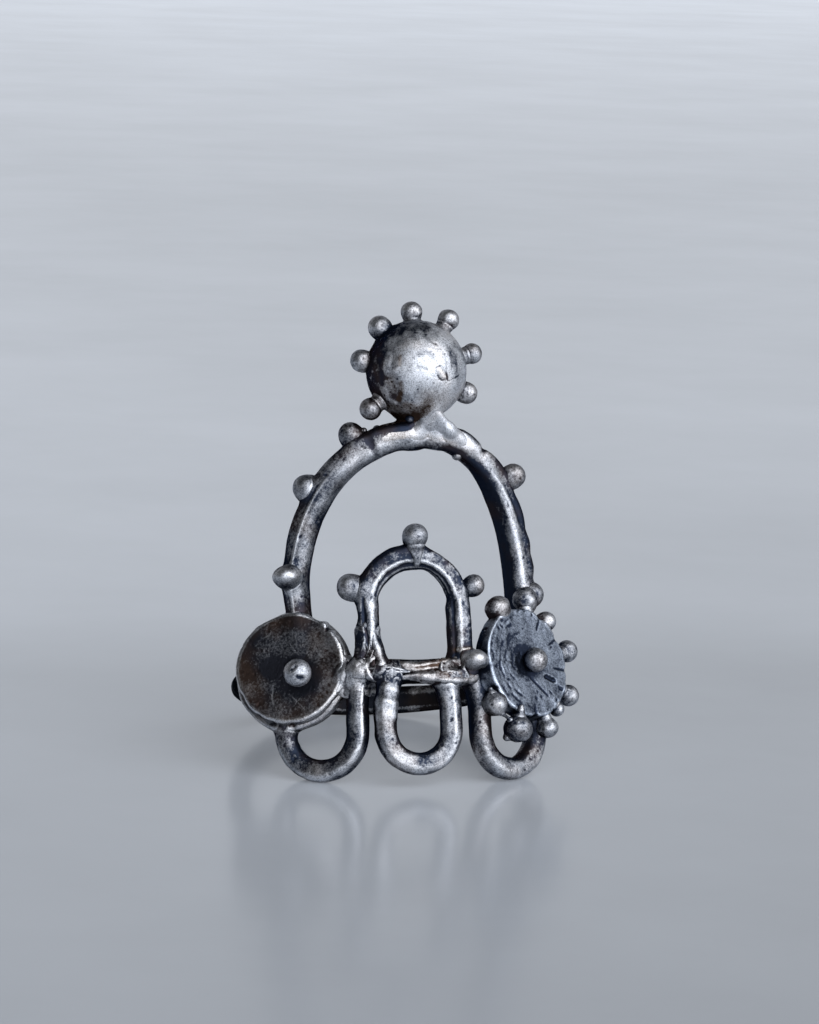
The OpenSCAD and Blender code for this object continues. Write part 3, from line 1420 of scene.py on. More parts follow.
@dataclass
class HangingLoops(Piece):
    """Three loops that hang under the band, and the ring stands on the two outer ones.

    Args:
        wire_d: thickness of their wire.
        start: how deep under the band all legs begin but the outermost two.
        loops: the loops.
    """

    name: str = "loop"
    wire_d: float = 1.44
    start: float = 0.5
    loops: tuple[Loop, ...] = (
        Loop(Side.LEFT, 2.35, -37.6, -32.0, 9.83, gap=0.0, lean=0.0, tuck=0.45, seen=-19),
        Loop(Side.MIDDLE, 2.06, -1.772, 0.0, 9.705, gap=0.8, lean=0.38, tuck=0.1, seen=13),
        Loop(Side.RIGHT, 2.35, 36.0, 30.0, 9.83, gap=0.0, lean=0.0, tuck=0.4, seen=43))

    def depth(self, loop: Loop) -> float:
        """Depth of a loop's lowest middle under the band, which leaves its gap to the ground.

        Args:
            loop: the loop.

        Returns:
            The depth.
        """
        up = SEAT.axes[:, 2]
        foot = at(loop.azimuth, loop.distance, 0.0)
        height = SEAT.origin[2] / MM + foot @ up - self.wire_d / 2 - loop.gap
        return height / up[2]

    def wire(self, loop: Loop) -> Wire:
        """Wire of one loop. Its section's angle 0 faces out, 90 the outline and 270 the hole.

        Args:
            loop: the loop.

        Returns:
            The wire.
        """
        half, depth = loop.half, self.depth(loop)
        flat = horseshoe(half, depth - half, half, step=0.08)
        outermost = flat[:, 0] * np.sign(loop.turn) > 0
        flat = flat[(flat[:, 1] > self.start) | outermost]
        flat[:, 0] -= np.sign(flat[:, 0]) * loop.lean * (1 - smooth(flat[:, 1], 0.0, 2.4))
        x, y = flat[:, 0], flat[:, 1]
        turn = np.radians(loop.turn)
        out = np.array([np.sin(turn), -np.cos(turn), 0.0])
        across = np.array([np.cos(turn), np.sin(turn), 0.0])
        foot = at(loop.azimuth, loop.distance, 0.0)
        tuck = loop.tuck * (1 - smooth(y[:, None], 0.0, 2.6))
        path = foot + x[:, None] * across - y[:, None] * np.array([0, 0, 1.0]) - tuck * out
        wire = Wire(loop.side.value, path, np.broadcast_to(out, path.shape), self.wire_d / 2, 60)
        bottom = smooth(y, depth - half, depth - 0.6)
        wire.forge(2.2 + 0.7 * bottom, -8)
        straight = smooth(depth - half + 1.2 - y, 0, 1.4)
        left, right = (x < 0) * straight, (x > 0) * straight
        seen = loop.seen
        # Along the bottom a ridge and a dark groove; on the legs, counted from the side that faces the eye,
        # painted shade on the edges turned away from it, and on the right leg a raised ridge with a painted
        # highlight
        wire.work([
            (bottom, 40, 36, 0.02, -0.1, 0.35), (bottom, 300, 40, -0.04, 0.8),
            (left, seen - 75, 45, -0.03, 0.7), (left, seen + 62, 30, 0.0, 0.4),
            (right, -seen - 70, 45, -0.03, 0.8), (right, 24 - seen, 14, 0.04, -0.1, 0.5)])
        if loop.side is Side.LEFT:
            wire.work([((x < 0) * smooth(3.4 - y, 0, 1.6), 332, 16, -0.14, 0.9),
                       ((x < 0) * smooth(3.8 - y, 0, 1.6), 300, 24, 0.06)])
        if loop.side is Side.MIDDLE:
            wire.work([((x < 0) * hump(y, place, 0.6), 0, 110, lift, -0.4, 0.5)
                       for place, lift in ((1.2, 0.16), (2.0, 0.19), (2.7, 0.1))])
        return wire

    def solids(self) -> list[Solid]:
        """The three loops."""
        return [self.wire(loop).solid(0.6) for loop in self.loops]

    def skins(self, metal: Metalwork) -> list[Skin]:
        """The three loops, pitted and rough inside.

        Args:
            metal: all the pieces' solids.

        Returns:
            One skin to a loop.
        """
        return Work(lumps=0.05, lump_size=1.1, pits=0.05, pit_size=0.36, pitted=0.36, seed=51).each(
            [self.wire(loop) for loop in self.loops], metal)


def turned(owner: str, face: Face, radius: float, front: float, back: float, ragged: Floats) -> Skin:
    """Round plate with rounded edges: rings from the middle of its front, over the rim, to its back.

    Args:
        owner: name of the plate.
        face: where it lies.
        radius: its mean radius.
        front: distance of its front from the face, outward.
        back: the same of its back.
        ragged: change of the radius at each of the angles round it.

    Returns:
        The skin. Point (i, j) is r_i (cos a_j right + sin a_j up) + z_i out, where (r, z) is the profile.
    """
    edge = min(0.16, (front - back) / 3)
    corner = np.radians(np.linspace(90, 0, 7))
    flat = np.arange(0.08, radius - edge, 0.075)
    r = np.concatenate([flat, radius - edge + edge * np.cos(corner), np.full(6, radius)])
    z = np.concatenate([np.full(len(flat), front), front - edge + edge * np.sin(corner),
                        np.linspace(front - edge, back + edge, 8)[1:-1]])
    r = np.concatenate([r, radius - edge + edge * np.cos(corner[::-1]), flat[::-3]])
    z = np.concatenate([z, back + edge - edge * np.sin(corner[::-1]), np.full(len(flat[::-3]), back)])
    size = r[:, None] + ragged[None] * smooth(r / radius, 0.5, 1.0)[:, None]
    grid = face.point(size * np.cos(DISC_TURN), size * np.sin(DISC_TURN),
                      np.broadcast_to(z[:, None], size.shape))
    return capped(owner, grid, [face.point(0.0, 0.0, front), face.point(0.0, 0.0, back)])


def ragged(height: float, seed: int, size: float) -> Floats:
    """Uneven change of a radius round a rim, by noise on a circle.

    Args:
        height: height of the noise.
        seed: seed of the chance.
        size: size of its largest lumps.

    Returns:
        The change at each point.
    """
    ring = 3.5 * np.stack([np.cos(DISC_TURN), np.sin(DISC_TURN)], -1)
    spots = np.pad(ring, ((0, 0), (0, 1)), constant_values=0.5)
    return height * rough(spots, size, seed, 3)


def specks(skin: Skin, size: float, share: float, seed: int, rub: float) -> None:
    """Small bright spots scattered over a skin.

    Args:
        skin: the skin.
        size: distance between the places where there may be one.
        share: share of those places that have one.
        seed: seed of the chance.
        rub: how bright they are.
    """
    first, _, number = cells(skin.points, size, seed)
    skin.rub += smooth(0.24 - first, 0, 0.12) * (number < share) * rub


def open_face(face: Face, radius: float, points: Floats) -> tuple[Floats, Floats]:
    """Where points lie on a disc.

    Args:
        face: the disc's place.
        radius: its radius.
        points: the points.

    Returns:
        Their distances from its middle, in parts of its radius, and whether they lie on its open face.
    """
    across, up, out = face.flat(points)
    away = np.hypot(across, up) / radius
    return away, smooth(out, -0.12, -0.03) * smooth(0.98 - away, 0, 0.06)


@dataclass
class LeftDisc(Piece):
    """Two thin plates, one behind the other, with a dark scratched face and a torn rim.

    Args:
        radius: their radius.
        plate: thickness of each.
        shift: place of the rear one, across and up from the front one.
        face: place of the front one.
    """

    name: str = "left_disc"
    radius: float = 3.5
    plate: float = 0.6
    shift: tuple[float, float] = (-0.15, -0.36)
    face: Face = field(default_factory=lambda: Face.turned(at(-46.7, 10.75, 0.56), -28, 8))

    def rear(self) -> Face:
        """Place of the rear plate."""
        return Face(self.face.point(*self.shift), self.face.right, self.face.up, self.face.out)

    def skirt(self) -> Wire:
        """Smooth solder along the right side of the rim, thickest where the bar leaves it.

        Returns:
            The solder as a wire.
        """
        turn = np.radians(np.linspace(-82, 50, 90))
        path = self.face.point((self.radius - 0.1) * np.cos(turn), (self.radius - 0.1) * np.sin(turn), -0.62)
        wire = Wire("skirt", path, np.broadcast_to(self.face.out, path.shape), 0.42, 40)
        wire.width *= (0.45 + 0.55 * hump(np.degrees(turn), -8, 75))[:, None]
        return wire

    def solids(self) -> list[Solid]:
        """The two plates and the solder at their side.

        Returns:
            The three solids.
        """
        return [Plate("left_front", self.face, self.radius, 0.0, -self.plate, 0.35),
                Plate("left_rear", self.rear(), self.radius, -self.plate * 0.9, -2 * self.plate, 0.5),
                self.skirt().solid(0.6)]

    def skins(self, metal: Metalwork) -> list[Skin]:
        """The two plates, with the marks on the front one, and the solder at its side.

        Args:
            metal: all the pieces' solids.

        Returns:
            Front plate, rear plate, the solder and the lip.
        """
        turn = np.degrees(DISC_TURN)
        torn = ragged(0.07, 61, 0.8) - 0.22 * hump(turn, 44, 5) + 0.1 * hump(turn, 52, 6)
        torn += 0.14 * hump(turn, 155, 60)
        front = turned("left_front", self.face, self.radius - 0.05, 0.0, -self.plate, torn)
        rear = turned("left_rear", self.rear(), self.radius - 0.03, -self.plate * 0.9, -2 * self.plate,
                      ragged(0.09, 62, 1.1))
        for skin, seed in ((front, 63), (rear, 64)):
            Work(lumps=0.03, lump_size=1.6, pits=0.03, pit_size=0.4, pitted=0.3, seed=seed).on(skin, metal)
        self.tarnish_and_shade(front)
        middle = sight(self.face.centre)
        for line, width, rub in (
                ([(0.0, -1.6), (0.95, -2.5)], 0.05, 0.45), ([(0.75, -1.75), (0.1, -2.5)], 0.05, 0.4),
                ([(-1.01, -1.12), (-1.06, -1.8), (-0.98, -2.3)], 0.07, 0.8),
                ([(0.04, 1.42), (0.78, 0.49)], 0.05, 0.5), ([(-2.2, 1.3), (-1.2, 2.1)], 0.05, 0.3),
                ([(1.4, 1.6), (2.2, 0.4)], 0.05, 0.3), ([(-2.1, -0.6), (-1.5, -1.7)], 0.05, 0.3),
                ([(1.5, -0.9), (1.1, -2.2)], 0.05, 0.25)):
            front.mark(middle, line, width, lift=-0.012, soot=-0.1, rub=rub)
        # Painted shadow of the pin, dark and blue, on the face to its left
        front.mark(middle, [(-1.3, -0.1), (-0.5, -0.1)], 0.8, soot=0.5, warm=-1.0)
        skirt = Work(lumps=0.03, lump_size=1.2, pits=0.0, seed=67).on(self.skirt().skin(), metal)
        skirt.rub += 0.35
        lip = Grain("lip", middle.point(3.12, -0.9, 0.05), 0.5, middle.up, flat=0.0, high=1.3).skin()
        lip.rub += 0.6
        return [front, rear, skirt, lip]

    def tarnish_and_shade(self, skin: Skin) -> None:
        """Darkens the open face, blue in the middle and brown to the edge, with painted shade on its left and
        painted light on its right, and brightens the rim, most on its right as a painted highlight.

        Args:
            skin: the front plate's skin.
        """
        across, up, out = self.face.flat(skin.points)
        away, flat = open_face(self.face, self.radius, skin.points)
        # Patina over the face, with painted shade on its left side, painted light on its right side, and a
        # little darker at the top
        skin.soot += flat * (0.43 + 0.1 * smooth(-across, 0.5, 2.8) - 0.24 * smooth(across, 0.5, 2.4)
                             + 0.06 * smooth(up, 0.6, 2.4))
        skin.warm += flat * (smooth(away, 0.35, 0.8) * 0.6 - 0.35)
        rim = smooth(away, 0.93, 0.97) * smooth(0.3 + out, 0, 0.1)
        # The rim rubbed bright, with a painted highlight on its right side
        skin.rub += rim * (0.35 + 0.5 * smooth(across, -1.5, 1.5))
        specks(skin, 0.24, 0.3, 66, 0.35)


@dataclass
class Pin(Piece):
    """Pin with a dented oval head, which stands out of the left disc.

    Args:
        foot: where it leaves the disc, across and up.
        tip: middle of its head.
        shank: thickness of its shank.
        head: thickness of its head.
    """

    name: str = "pin"
    foot: tuple[float, float] = (0.35, 0.05)
    tip: Three = (-7.75, -9.35, 0.02)
    shank: float = 1.05
    head: float = 1.7

    def start(self) -> Floats:
        """Where the pin leaves the plate."""
        disc = LeftDisc()
        return disc.face.point(*self.foot, -disc.plate / 2)

    def rod(self) -> Wire:
        """The pin's shank."""
        thick = self.shank / 2
        return stub("pin", self.start(), self.tip, (thick, thick * 0.95, thick))

    def bead(self) -> Grain:
        """The pin's head."""
        return Grain("pin_head", np.array(self.tip), self.head, unit(self.start() - self.tip), 0.04)

    def solids(self) -> list[Solid]:
        """Shank and head."""
        return [self.rod().solid(0.3), self.bead().solid(0.3)]

    def skins(self, metal: Metalwork) -> list[Skin]:
        """Shank and head, with dents on the head.

        Args:
            metal: all the pieces' solids.

        Returns:
            Their skins.
        """
        head = self.bead().skin()
        Work(lumps=0.03, lump_size=0.8, pits=0.03, pit_size=0.4, seed=71).on(head, metal)
        middle = sight(self.tip)
        head.mark(middle, [(0.05, -0.25), (0.3, -0.3)], 0.25, lift=-0.06, soot=0.3)
        head.mark(middle, [(-0.35, 0.2), (-0.1, 0.42)], 0.18, lift=-0.05, soot=0.3)
        head.rub += 0.35
        return [Work(seed=72).on(self.rod().skin(), metal), head]


@dataclass
class RightDisc(Piece):
    """Thick plate with a grain in its middle and stalked grains round its rim.

    Args:
        radius: its radius.
        thick: its thickness.
        grain: thickness of the middle grain.
        level: how far the rim's grains lie out from its face.
        face: its place.
        rim: angle on the face, distance from its middle and thickness of each of the rim's grains.
        notches: angles of the dents in the rim.
        sag: height along the finger of the rim's first grain, where the others have 1.
    """

    name: str = "right_disc"
    radius: float = 3.45
    thick: float = 1.15
    grain: float = 1.55
    level: float = -0.46
    face: Face = field(default_factory=lambda: Face.turned(at(40.0, 11.1, 0.6), 32, 8))
    rim: tuple[Three, ...] = (
        (179, 4.3, 1.64), (114, 3.86, 1.6), (75, 4.35, 1.4), (47, 4.0, 1.25), (14, 4.36, 1.38),
        (334, 4.2, 1.36), (312, 3.75, 0.8), (290, 4.3, 1.3), (253, 4.4, 1.8), (222, 4.05, 1.5))
    notches: tuple[float, ...] = (61, 30, 354, 312, 272)
    sag: float = 0.72

    def place(self, angle: float, away: float) -> Floats:
        """Point at an angle round the face and a distance from its middle, at the grains' level."""
        turn = np.radians(angle)
        return self.face.point(away * np.cos(turn), away * np.sin(turn), self.level)

    def grains(self) -> list[Grain]:
        """The middle grain and those round the rim.

        Returns:
            The grains, the middle one first.
        """
        top = self.face.point(0.0, 0.0, 0.42 * self.grain)
        found = [Grain("grain_middle", top, self.grain, -self.face.out)]
        for angle, away, size in self.rim:
            spot = self.place(angle, away)
            flat = 0.04 + 0.03 * (size > 1.45)
            high = self.sag if angle == self.rim[0][0] else 1.0
            found.append(Grain(f"rim_{angle}", spot, size, unit(self.face.centre - spot), flat, high))
        return found

    def stalks(self) -> list[Wire]:
        """Stalks of the rim's grains, with two lumps each.

        Returns:
            The stalks, in the grains' order.
        """
        lumps = (0.36, 0.3, 0.42, 0.33, 0.4)
        return [stub(f"stalk_{angle}", self.place(angle, self.radius - 0.5), self.place(angle, away), lumps)
                for angle, away, _ in self.rim]

    def solids(self) -> list[Solid]:
        """Plate, grains and stalks."""
        return [Plate("right_plate", self.face, self.radius, 0.0, -self.thick, 0.4),
                *(grain.solid(0.35) for grain in self.grains()), *(wire.solid(0.3) for wire in self.stalks())]

    def skins(self, metal: Metalwork) -> list[Skin]:
        """The plate with its chiselled face.

        Args:
            metal: all the pieces' solids.

        Returns:
            The plate's skin.
        """
        turn = np.degrees(DISC_TURN)
        dents = sum(hump(turn, notch, 7) for notch in self.notches)
        rim = 0.06 + ragged(0.06, 81, 0.9) - 0.14 * dents
        plate = turned("right_plate", self.face, self.radius - 0.03, 0.0, -self.thick, rim)
        Work(lumps=0.03, lump_size=1.3, pits=0.04, pit_size=0.45, pitted=0.3, seed=82).on(plate, metal)
        across, up, out = self.face.flat(plate.points)
        away, flat = open_face(self.face, self.radius, plate.points)
        angle = np.arctan2(up, across)
        brushed = rough(np.stack([away * 9, angle * 1.6, out], -1), 0.6, 83)
        plate.swell(flat * smooth(-across, -0.5, 1.5) * brushed * 0.03)
        plate.soot += flat * (0.2 + 0.06 * rough(plate.points, 1.3, 84))
        plate.warm -= flat * 0.7
        plate.rub += flat * smooth(-across, -0.4, 1.5) * 0.12 * brushed
        plate.rub += smooth(away, 0.95, 1.0) * 0.3 * smooth(rough(plate.points, 1.6, 86), -0.2, 0.3)
        crease = sum(hump(np.degrees(angle) % 360, notch, 3.0) for notch in (*self.notches, 330))
        crease = crease * flat * smooth(away, 0.6, 0.85) * smooth(rough(plate.points, 0.9, 87), -0.5, 0.3)
        plate.swell(-0.06 * crease)
        plate.soot += 0.3 * crease
        specks(plate, 0.26, 0.15, 85, 0.25)
        middle = sight(self.face.centre)
        plate.mark(middle, [(1.19, -0.92), (1.63, -1.17)], 0.2, lift=-0.14, soot=0.9)
        plate.mark(middle, [(0.19, -0.98), (1.25, -2.1)], 0.1, lift=-0.03, soot=0.5, rub=0.2)
        return [plate]


@dataclass
class RimGrains(Piece):
    """Grains and stalks of the right disc, with the spikes left by the melt on three of them."""

    name: str = "rim_grains"
    disc: RightDisc = field(default_factory=RightDisc)

    def spikes(self) -> list[Wire]:
        """Spike and nib on the largest grain, horn on its neighbour, and the thin thread between them.

        Returns:
            The four wires.
        """
        large, beside = (self.disc.place(angle, away) for angle, away, _ in self.disc.rim[-2:])
        view = sight(large)
        horn = sight(beside)
        return [stub("spike", large, view.point(0.22, 1.35, 0.2), (0.5, 0.36, 0.14)),
                stub("nib", large, view.point(-0.75, -0.55, 0.1), (0.5, 0.36, 0.18)),
                stub("horn", beside, horn.point(-0.3, 0.95, 0.1), (0.42, 0.3, 0.12)),
                stub("thread", horn.point(0.2, -0.4, 0.4), view.point(-0.4, 0.5, 0.4), (0.12, 0.09, 0.12))]

    def solids(self) -> list[Solid]:
        """The spikes."""
        return [wire.solid(0.2) for wire in self.spikes()]

    def skins(self, metal: Metalwork) -> list[Skin]:
        """Grains, stalks and spikes.

        Args:
            metal: all the pieces' solids.

        Returns:
            Their skins.
        """
        found = Work(lumps=0.035, lump_size=0.8, pits=0.03, pit_size=0.3, pitted=0.3, seed=101).each(
            [*self.disc.grains(), *self.disc.stalks(), *self.spikes()], metal)
        leftmost = found[1]
        leftmost.rub += 0.5
        leftmost.soot *= 0.4
        return found


@dataclass
class ArchGrains(Piece):
    """Grains on the two arches.

    Args:
        table: their azimuths, distances, heights and thicknesses, up the large arch, down it, and over the
            small one.
    """

    name: str = "arch_grains"
    table: tuple[Four, ...] = (
        (-47.0, 10.75, 6.25, 1.76), (-40.8, 10.0, 11.87, 1.55), (-22.9, 9.95, 15.0, 1.45),
        (41.4, 10.4, 12.55, 1.56), (51.0, 10.5, 5.1, 1.34),
        (-25.1, 9.85, 5.36, 1.68), (-1.3, 10.35, 8.35, 1.58), (21.9, 9.85, 5.38, 1.4))

    def grains(self) -> list[Grain]:
        """The grains, each with its foot towards the middle of the arches.

        Returns:
            The grains, in the table's order.
        """
        heart = at(0.0, WALL, 5.5)
        found = []
        for k, (azimuth, away, height, size) in enumerate(self.table):
            spot = at(azimuth, away, height)
            found.append(Grain(f"arch_grain_{k}", spot, size, unit(heart - spot), 0.03, 1.0 if k else 0.76))
        return found

    def drips(self) -> list[Wire]:
        """Pointed tail under the small arch's top grain, and the spike beside the large arch's third one.

        Returns:
            The tail and the spike.
        """
        third, tail = (self.grains()[k].centre for k in (2, 6))
        return [stub("tail", tail, sight(tail).point(0.12, -1.65, 0.1), (0.62, 0.5, 0.3, 0.1)),
                stub("third_spike", third, sight(third).point(0.86, 0.18, 0.1), (0.3, 0.18, 0.06))]

    def solids(self) -> list[Solid]:
        """Grains and drips."""
        return [*(grain.solid(0.5) for grain in self.grains()), *(wire.solid(0.3) for wire in self.drips())]

    def skins(self, metal: Metalwork) -> list[Skin]:
        """Grains and drips.

        Args:
            metal: all the pieces' solids.

        Returns:
            Their skins.
        """
        found = Work(lumps=0.03, lump_size=0.9, pits=0.03, pit_size=0.3, pitted=0.3, seed=141).each(
            [*self.grains(), *self.drips()], metal)
        lowest, _, third = found[:3]
        lowest.rub += 0.3
        third.soot += 0.3
        return found


@dataclass
class Ball(Piece):
    """Large ball on a neck over the arch, seamed, ridged and pitted.

    Args:
        radius: its radius.
        skin_over: how much larger its skin is than the solid.
        centre: its middle.
    """

    name: str = "ball"
    radius: float = 3.05
    skin_over: float = 0.08
    centre: Floats = field(default_factory=lambda: at(1.55, 10.2, 18.8))

    def neck(self) -> list[Wire]:
        """Neck under the ball, and the web of solder in front of it, which has an arm to each side.

        Returns:
            The neck, and then the arms of the web.
        """
        low, view = self.centre, sight(self.centre)
        tip = view.point(1.18, -2.45, 1.5)
        left, right = view.point(0.15, -3.85, 0.45), view.point(2.0, -3.7, 0.4)
        neck = stub("neck", low + [-0.25, 0.85, -3.9], low + [-0.05, 0.5, -2.2], (0.92, 0.98, 1.15), 64)
        arms = [stub(name, start, end, radii, 48) for name, start, end, radii in (
            ("web", tip, view.point(1.1, -4.25, -0.1), (0.15, 0.36, 0.54)),
            ("web_slope", tip, left, (0.14, 0.34, 0.42)), ("web_side", tip, right, (0.14, 0.3, 0.36)),
            ("web_left", left, on_wall(-2.4, 14.75, 10.0), (0.42, 0.36, 0.16)),
            ("web_right", right, on_wall(4.3, 13.8, 9.98), (0.36, 0.36, 0.14)))]
        return [neck, *arms]

    def web(self, points: Floats) -> tuple[Floats, Floats]:
        """Where points lie about the web.

        Args:
            points: the points.

        Returns:
            Their share on the web, which stayed bright, and their share in the dark hollow to its left.
        """
        away = fused(points, [wire.solid() for wire in self.neck()[1:]], 0.3)
        across, up, _ = sight(self.centre).flat(points)
        hollow = smooth(away, 0.05, 0.25) * smooth(1.3 - away, 0, 0.9) * smooth(1.3 - across, 0, 0.6)
        return smooth(away, 0.32, 0.05), hollow * smooth(up, -4.0, -3.4)

    def solids(self) -> list[Solid]:
        """Ball, neck, web and the bead in the neck."""
        return [Bead("ball", self.centre, self.radius, 0.8), *(wire.solid(0.7) for wire in self.neck()),
                self.bead().solid(0.0)]

    def bead(self) -> Grain:
        """Small bead in the neck's hollow."""
        view = sight(self.centre)
        return Grain("neck_bead", view.point(-0.41, -3.02, 1.12), 0.54, view.up)

    def skins(self, metal: Metalwork) -> list[Skin]:
        """The ball with its marks, and what carries it.

        Args:
            metal: all the pieces' solids.

        Returns:
            The ball, the solder under it and the bead in the neck.
        """
        ball = globe("ball", self.centre, self.radius + self.skin_over, np.array([0.2, 0.3, 1.0]), 150, 280)
        Work(lumps=0.05, lump_size=2.2, pits=0.02, pit_size=0.3, pitted=0.4, seed=91).on(ball, metal)
        self.score_and_shade(ball)
        centre, reach = self.centre + [0.55, 0.05, -3.5], (3.6, 1.9, 1.8)
        near = [replace(solid, radius=solid.radius - 0.03 * (solid.owner == "large_arch"))
                for solid in metal.around(centre, reach)
                if solid.owner.startswith("web") or solid.owner in ("ball", "neck", "large_arch")]
        weld = Fillet("ball_weld", centre, reach, near, 0.6).skin(150, 240)
        Work(lumps=0.03, lump_size=1.0, pits=0.03, pit_size=0.4, seed=93, solder=False).on(weld, metal)
        clean, hollow = self.web(weld.points)
        weld.rub += 0.7 * clean
        weld.soot = weld.soot * (0.7 - 0.5 * clean) + 0.3 * (1 - clean) + 0.3 * hollow
        behind = smooth(weld.points[:, 1] - self.centre[1], -0.2, 0.5)
        weld.soot += 0.38 * behind
        weld.warm += 0.9 * (1 - clean) * (1 - 0.8 * behind)
        hollow = self.web(ball.points)[1]
        ball.soot += 0.8 * hollow
        ball.warm += hollow
        bead = Work(lumps=0.01, seed=99, solder=False).on(self.bead().skin(), metal)
        bead.soot += 1.5
        return [ball, weld, bead]

    def score_and_shade(self, skin: Skin) -> None:
        """Marks of the melt on the side that is seen, in parts of the ball's radius, and patina with painted
        shade on the ball's left side and top as seen.

        Args:
            skin: the ball's skin.
        """
        view = sight(self.centre)
        for line, width, lift, soot, rub, warm in (
                ([(0.16, 0.8), (0.24, 0.62), (0.5, 0.42), (0.6, 0.18), (0.62, -0.05), (0.64, -0.22)],
                 0.035, -0.01, 0.35, 0, 0),
                ([(0.6, -0.1), (0.65, -0.23), (0.74, -0.19), (0.86, -0.12)], 0.025, -0.015, 0.6, 0, 0),
                ([(0.6, 0.52), (0.76, 0.25), (0.8, -0.08)], 0.2, 0.0, 0.34, 0, -0.3),
                ([(0.46, 0.0), (0.56, -0.15)], 0.08, 0.06, 0.2, 0.1, 1.3),
                ([(0.4, 0.04), (0.46, 0.05)], 0.03, 0, 0.7, 0, 0),
                ([(0.42, -0.12), (0.5, -0.22), (0.6, -0.2)], 0.022, -0.02, 0.6, 0, 0),
                ([(0.05, 0.3), (0.2, 0.33), (0.33, 0.27)], 0.1, -0.015, 0.38, 0, -0.4),
                ([(0.04, 0.05), (0.22, 0.0)], 0.08, -0.02, 0.42, 0, -0.3),
                ([(0.15, 0.75), (0.4, 0.68)], 0.13, -0.02, 0.4, 0, 0),
                ([(-0.5, -0.22), (-0.44, -0.5)], 0.2, -0.08, 0.1, 0, 0.4),
                ([(-0.31, -0.28), (-0.285, -0.44), (-0.34, -0.6)], 0.09, 0.0, 0.5, 0, 1.0),
                ([(-0.32, 0.27), (-0.33, 0.08)], 0.06, 0.0, 0.5, 0, 0.9),
                ([(-0.42, 0.0), (-0.38, 0.2)], 0.1, 0.03, 0.2, 0, 0.3),
                ([(-0.62, -0.25), (-0.58, -0.58), (-0.42, -0.68)], 0.07, 0.02, 0, 0.2, 0),
                ([(-0.55, 0.3), (-0.6, 0.0)], 0.1, 0.05, -0.2, 0.1, 0),
                ([(-0.75, 0.2), (-0.7, -0.3)], 0.08, -0.04, 0.3, 0, -0.3),
                ([(-0.4, -0.8), (0.0, -0.93)], 0.3, 0.0, 0.35, 0, 1.0),
                ([(-0.2, -0.72), (-0.05, -0.8)], 0.12, 0.0, 0.35, 0, 0.8),
                ([(0.1, -0.5), (0.5, -0.62)], 0.25, -0.01, 0.22, 0, 0.2),
                ([(0.72, 0.45), (0.8, 0.1)], 0.13, -0.02, 0.3, 0, -0.3),
                ([(0.7, 0.35), (0.72, 0.05)], 0.03, 0.0, 0.3, 0, 0),
                ([(0.8, 0.3), (0.82, -0.05)], 0.03, 0.0, 0.3, 0, 0)):
            spots = [(x * self.radius, y * self.radius) for x, y in line]
            skin.mark(view, spots, width * self.radius, lift, soot, rub, warm)
        # Patina and painted shade: the ball darker on its left side and at its top as the eye sees it, and a
        # little at its right edge
        across, up, _ = view.flat(skin.points)
        side, top = across / self.radius, (up - 0.25 * across) / self.radius
        mottle = 0.3 * rough(skin.points, 0.9, 92, 4)
        fleck = 1 - 0.45 * smooth(rough(skin.points, 0.3, 97), 0.0, 0.5)
        skin.soot += 0.85 * smooth(-side + mottle, 0.4, 0.98) * fleck
        skin.soot += 0.25 * smooth(-side + mottle / 3, 0.55, 0.72) * fleck
        skin.soot += 0.3 * smooth(-side + mottle, 0.15, 0.45) + 0.3 * smooth(side, 0.6, 0.95)
        skin.soot += 0.9 * smooth(top + mottle, 0.6, 0.95)


@dataclass
class HaloGrains(Piece):
    """Stalked grains round the ball's outline.

    Args:
        ball: the ball.
        table: their angles round it, their distances from its middle and their thicknesses.
    """

    name: str = "halo_grains"
    ball: Ball = field(default_factory=Ball)
    table: tuple[Three, ...] = (
        (92.5, 3.75, 1.32), (56, 3.93, 1.32), (17, 3.8, 1.25), (336, 3.52, 1.27), (219, 3.88, 1.34),
        (170, 3.56, 1.37), (129, 3.57, 1.42))

    def place(self, angle: float, away: float) -> Floats:
        """Point at an angle and a distance from the ball's middle, in its upright sideways plane."""
        turn = np.radians(angle)
        return self.ball.centre + away * np.array([np.cos(turn), 0, np.sin(turn)])

    def grains(self) -> list[Grain]:
        """The grains, each with its foot towards the ball.

        Returns:
            The grains, in the table's order.
        """
        found = []
        for angle, away, size in self.table:
            spot = self.place(angle, away)
            found.append(Grain(f"halo_{angle}", spot, size, unit(self.ball.centre - spot), 0.04))
        return found

    def stalks(self) -> list[Wire]:
        """Their stalks.

        Returns:
            The stalks, in the grains' order.
        """
        return [stub(f"halo_stalk_{angle}", self.place(angle, self.ball.radius - 0.4),
                     self.place(angle, away), (0.5, 0.44, 0.5)) for angle, away, _ in self.table]

    def solids(self) -> list[Solid]:
        """Grains and stalks."""
        return [*(grain.solid(0.45) for grain in self.grains()), *(wire.solid(0.3) for wire in self.stalks())]

    def skins(self, metal: Metalwork) -> list[Skin]:
        """Grains and stalks.

        Args:
            metal: all the pieces' solids.

        Returns:
            Their skins.
        """
        found = Work(lumps=0.04, lump_size=0.9, pits=0.025, pit_size=0.3, pitted=0.3, seed=171).each(
            [*self.grains(), *self.stalks()], metal)
        lower_left = found[4]
        lower_left.soot += 0.25
        return found


# Finish of the metal

Socket = bpy.types.NodeSocket
Feed = Union[float, tuple, Socket]
BLUISH = (0.97, 0.99, 1.03, 1.0)
PINKISH = (1.05, 1.0, 0.97, 1.0)
# Colour of the metal seen at a slant, black and bare
BLACK_EDGE = (0.12, 0.13, 0.16, 1)
BARE_EDGE = (0.6, 0.62, 0.66, 1)
# Sizes in mm of the clouds, the grit, the stipple, the stains and the dimples
CLOUD, GRIT, STIPPLE, STAIN, DIMPLE = 1.3, 0.14, 0.07, 2.4, 0.22
DIMPLE_DEPTH = 0.03


class Sum(Enum):
    """Arithmetic of the nodes."""

    ADD = "ADD"
    TAKE = "SUBTRACT"
    TIMES = "MULTIPLY"


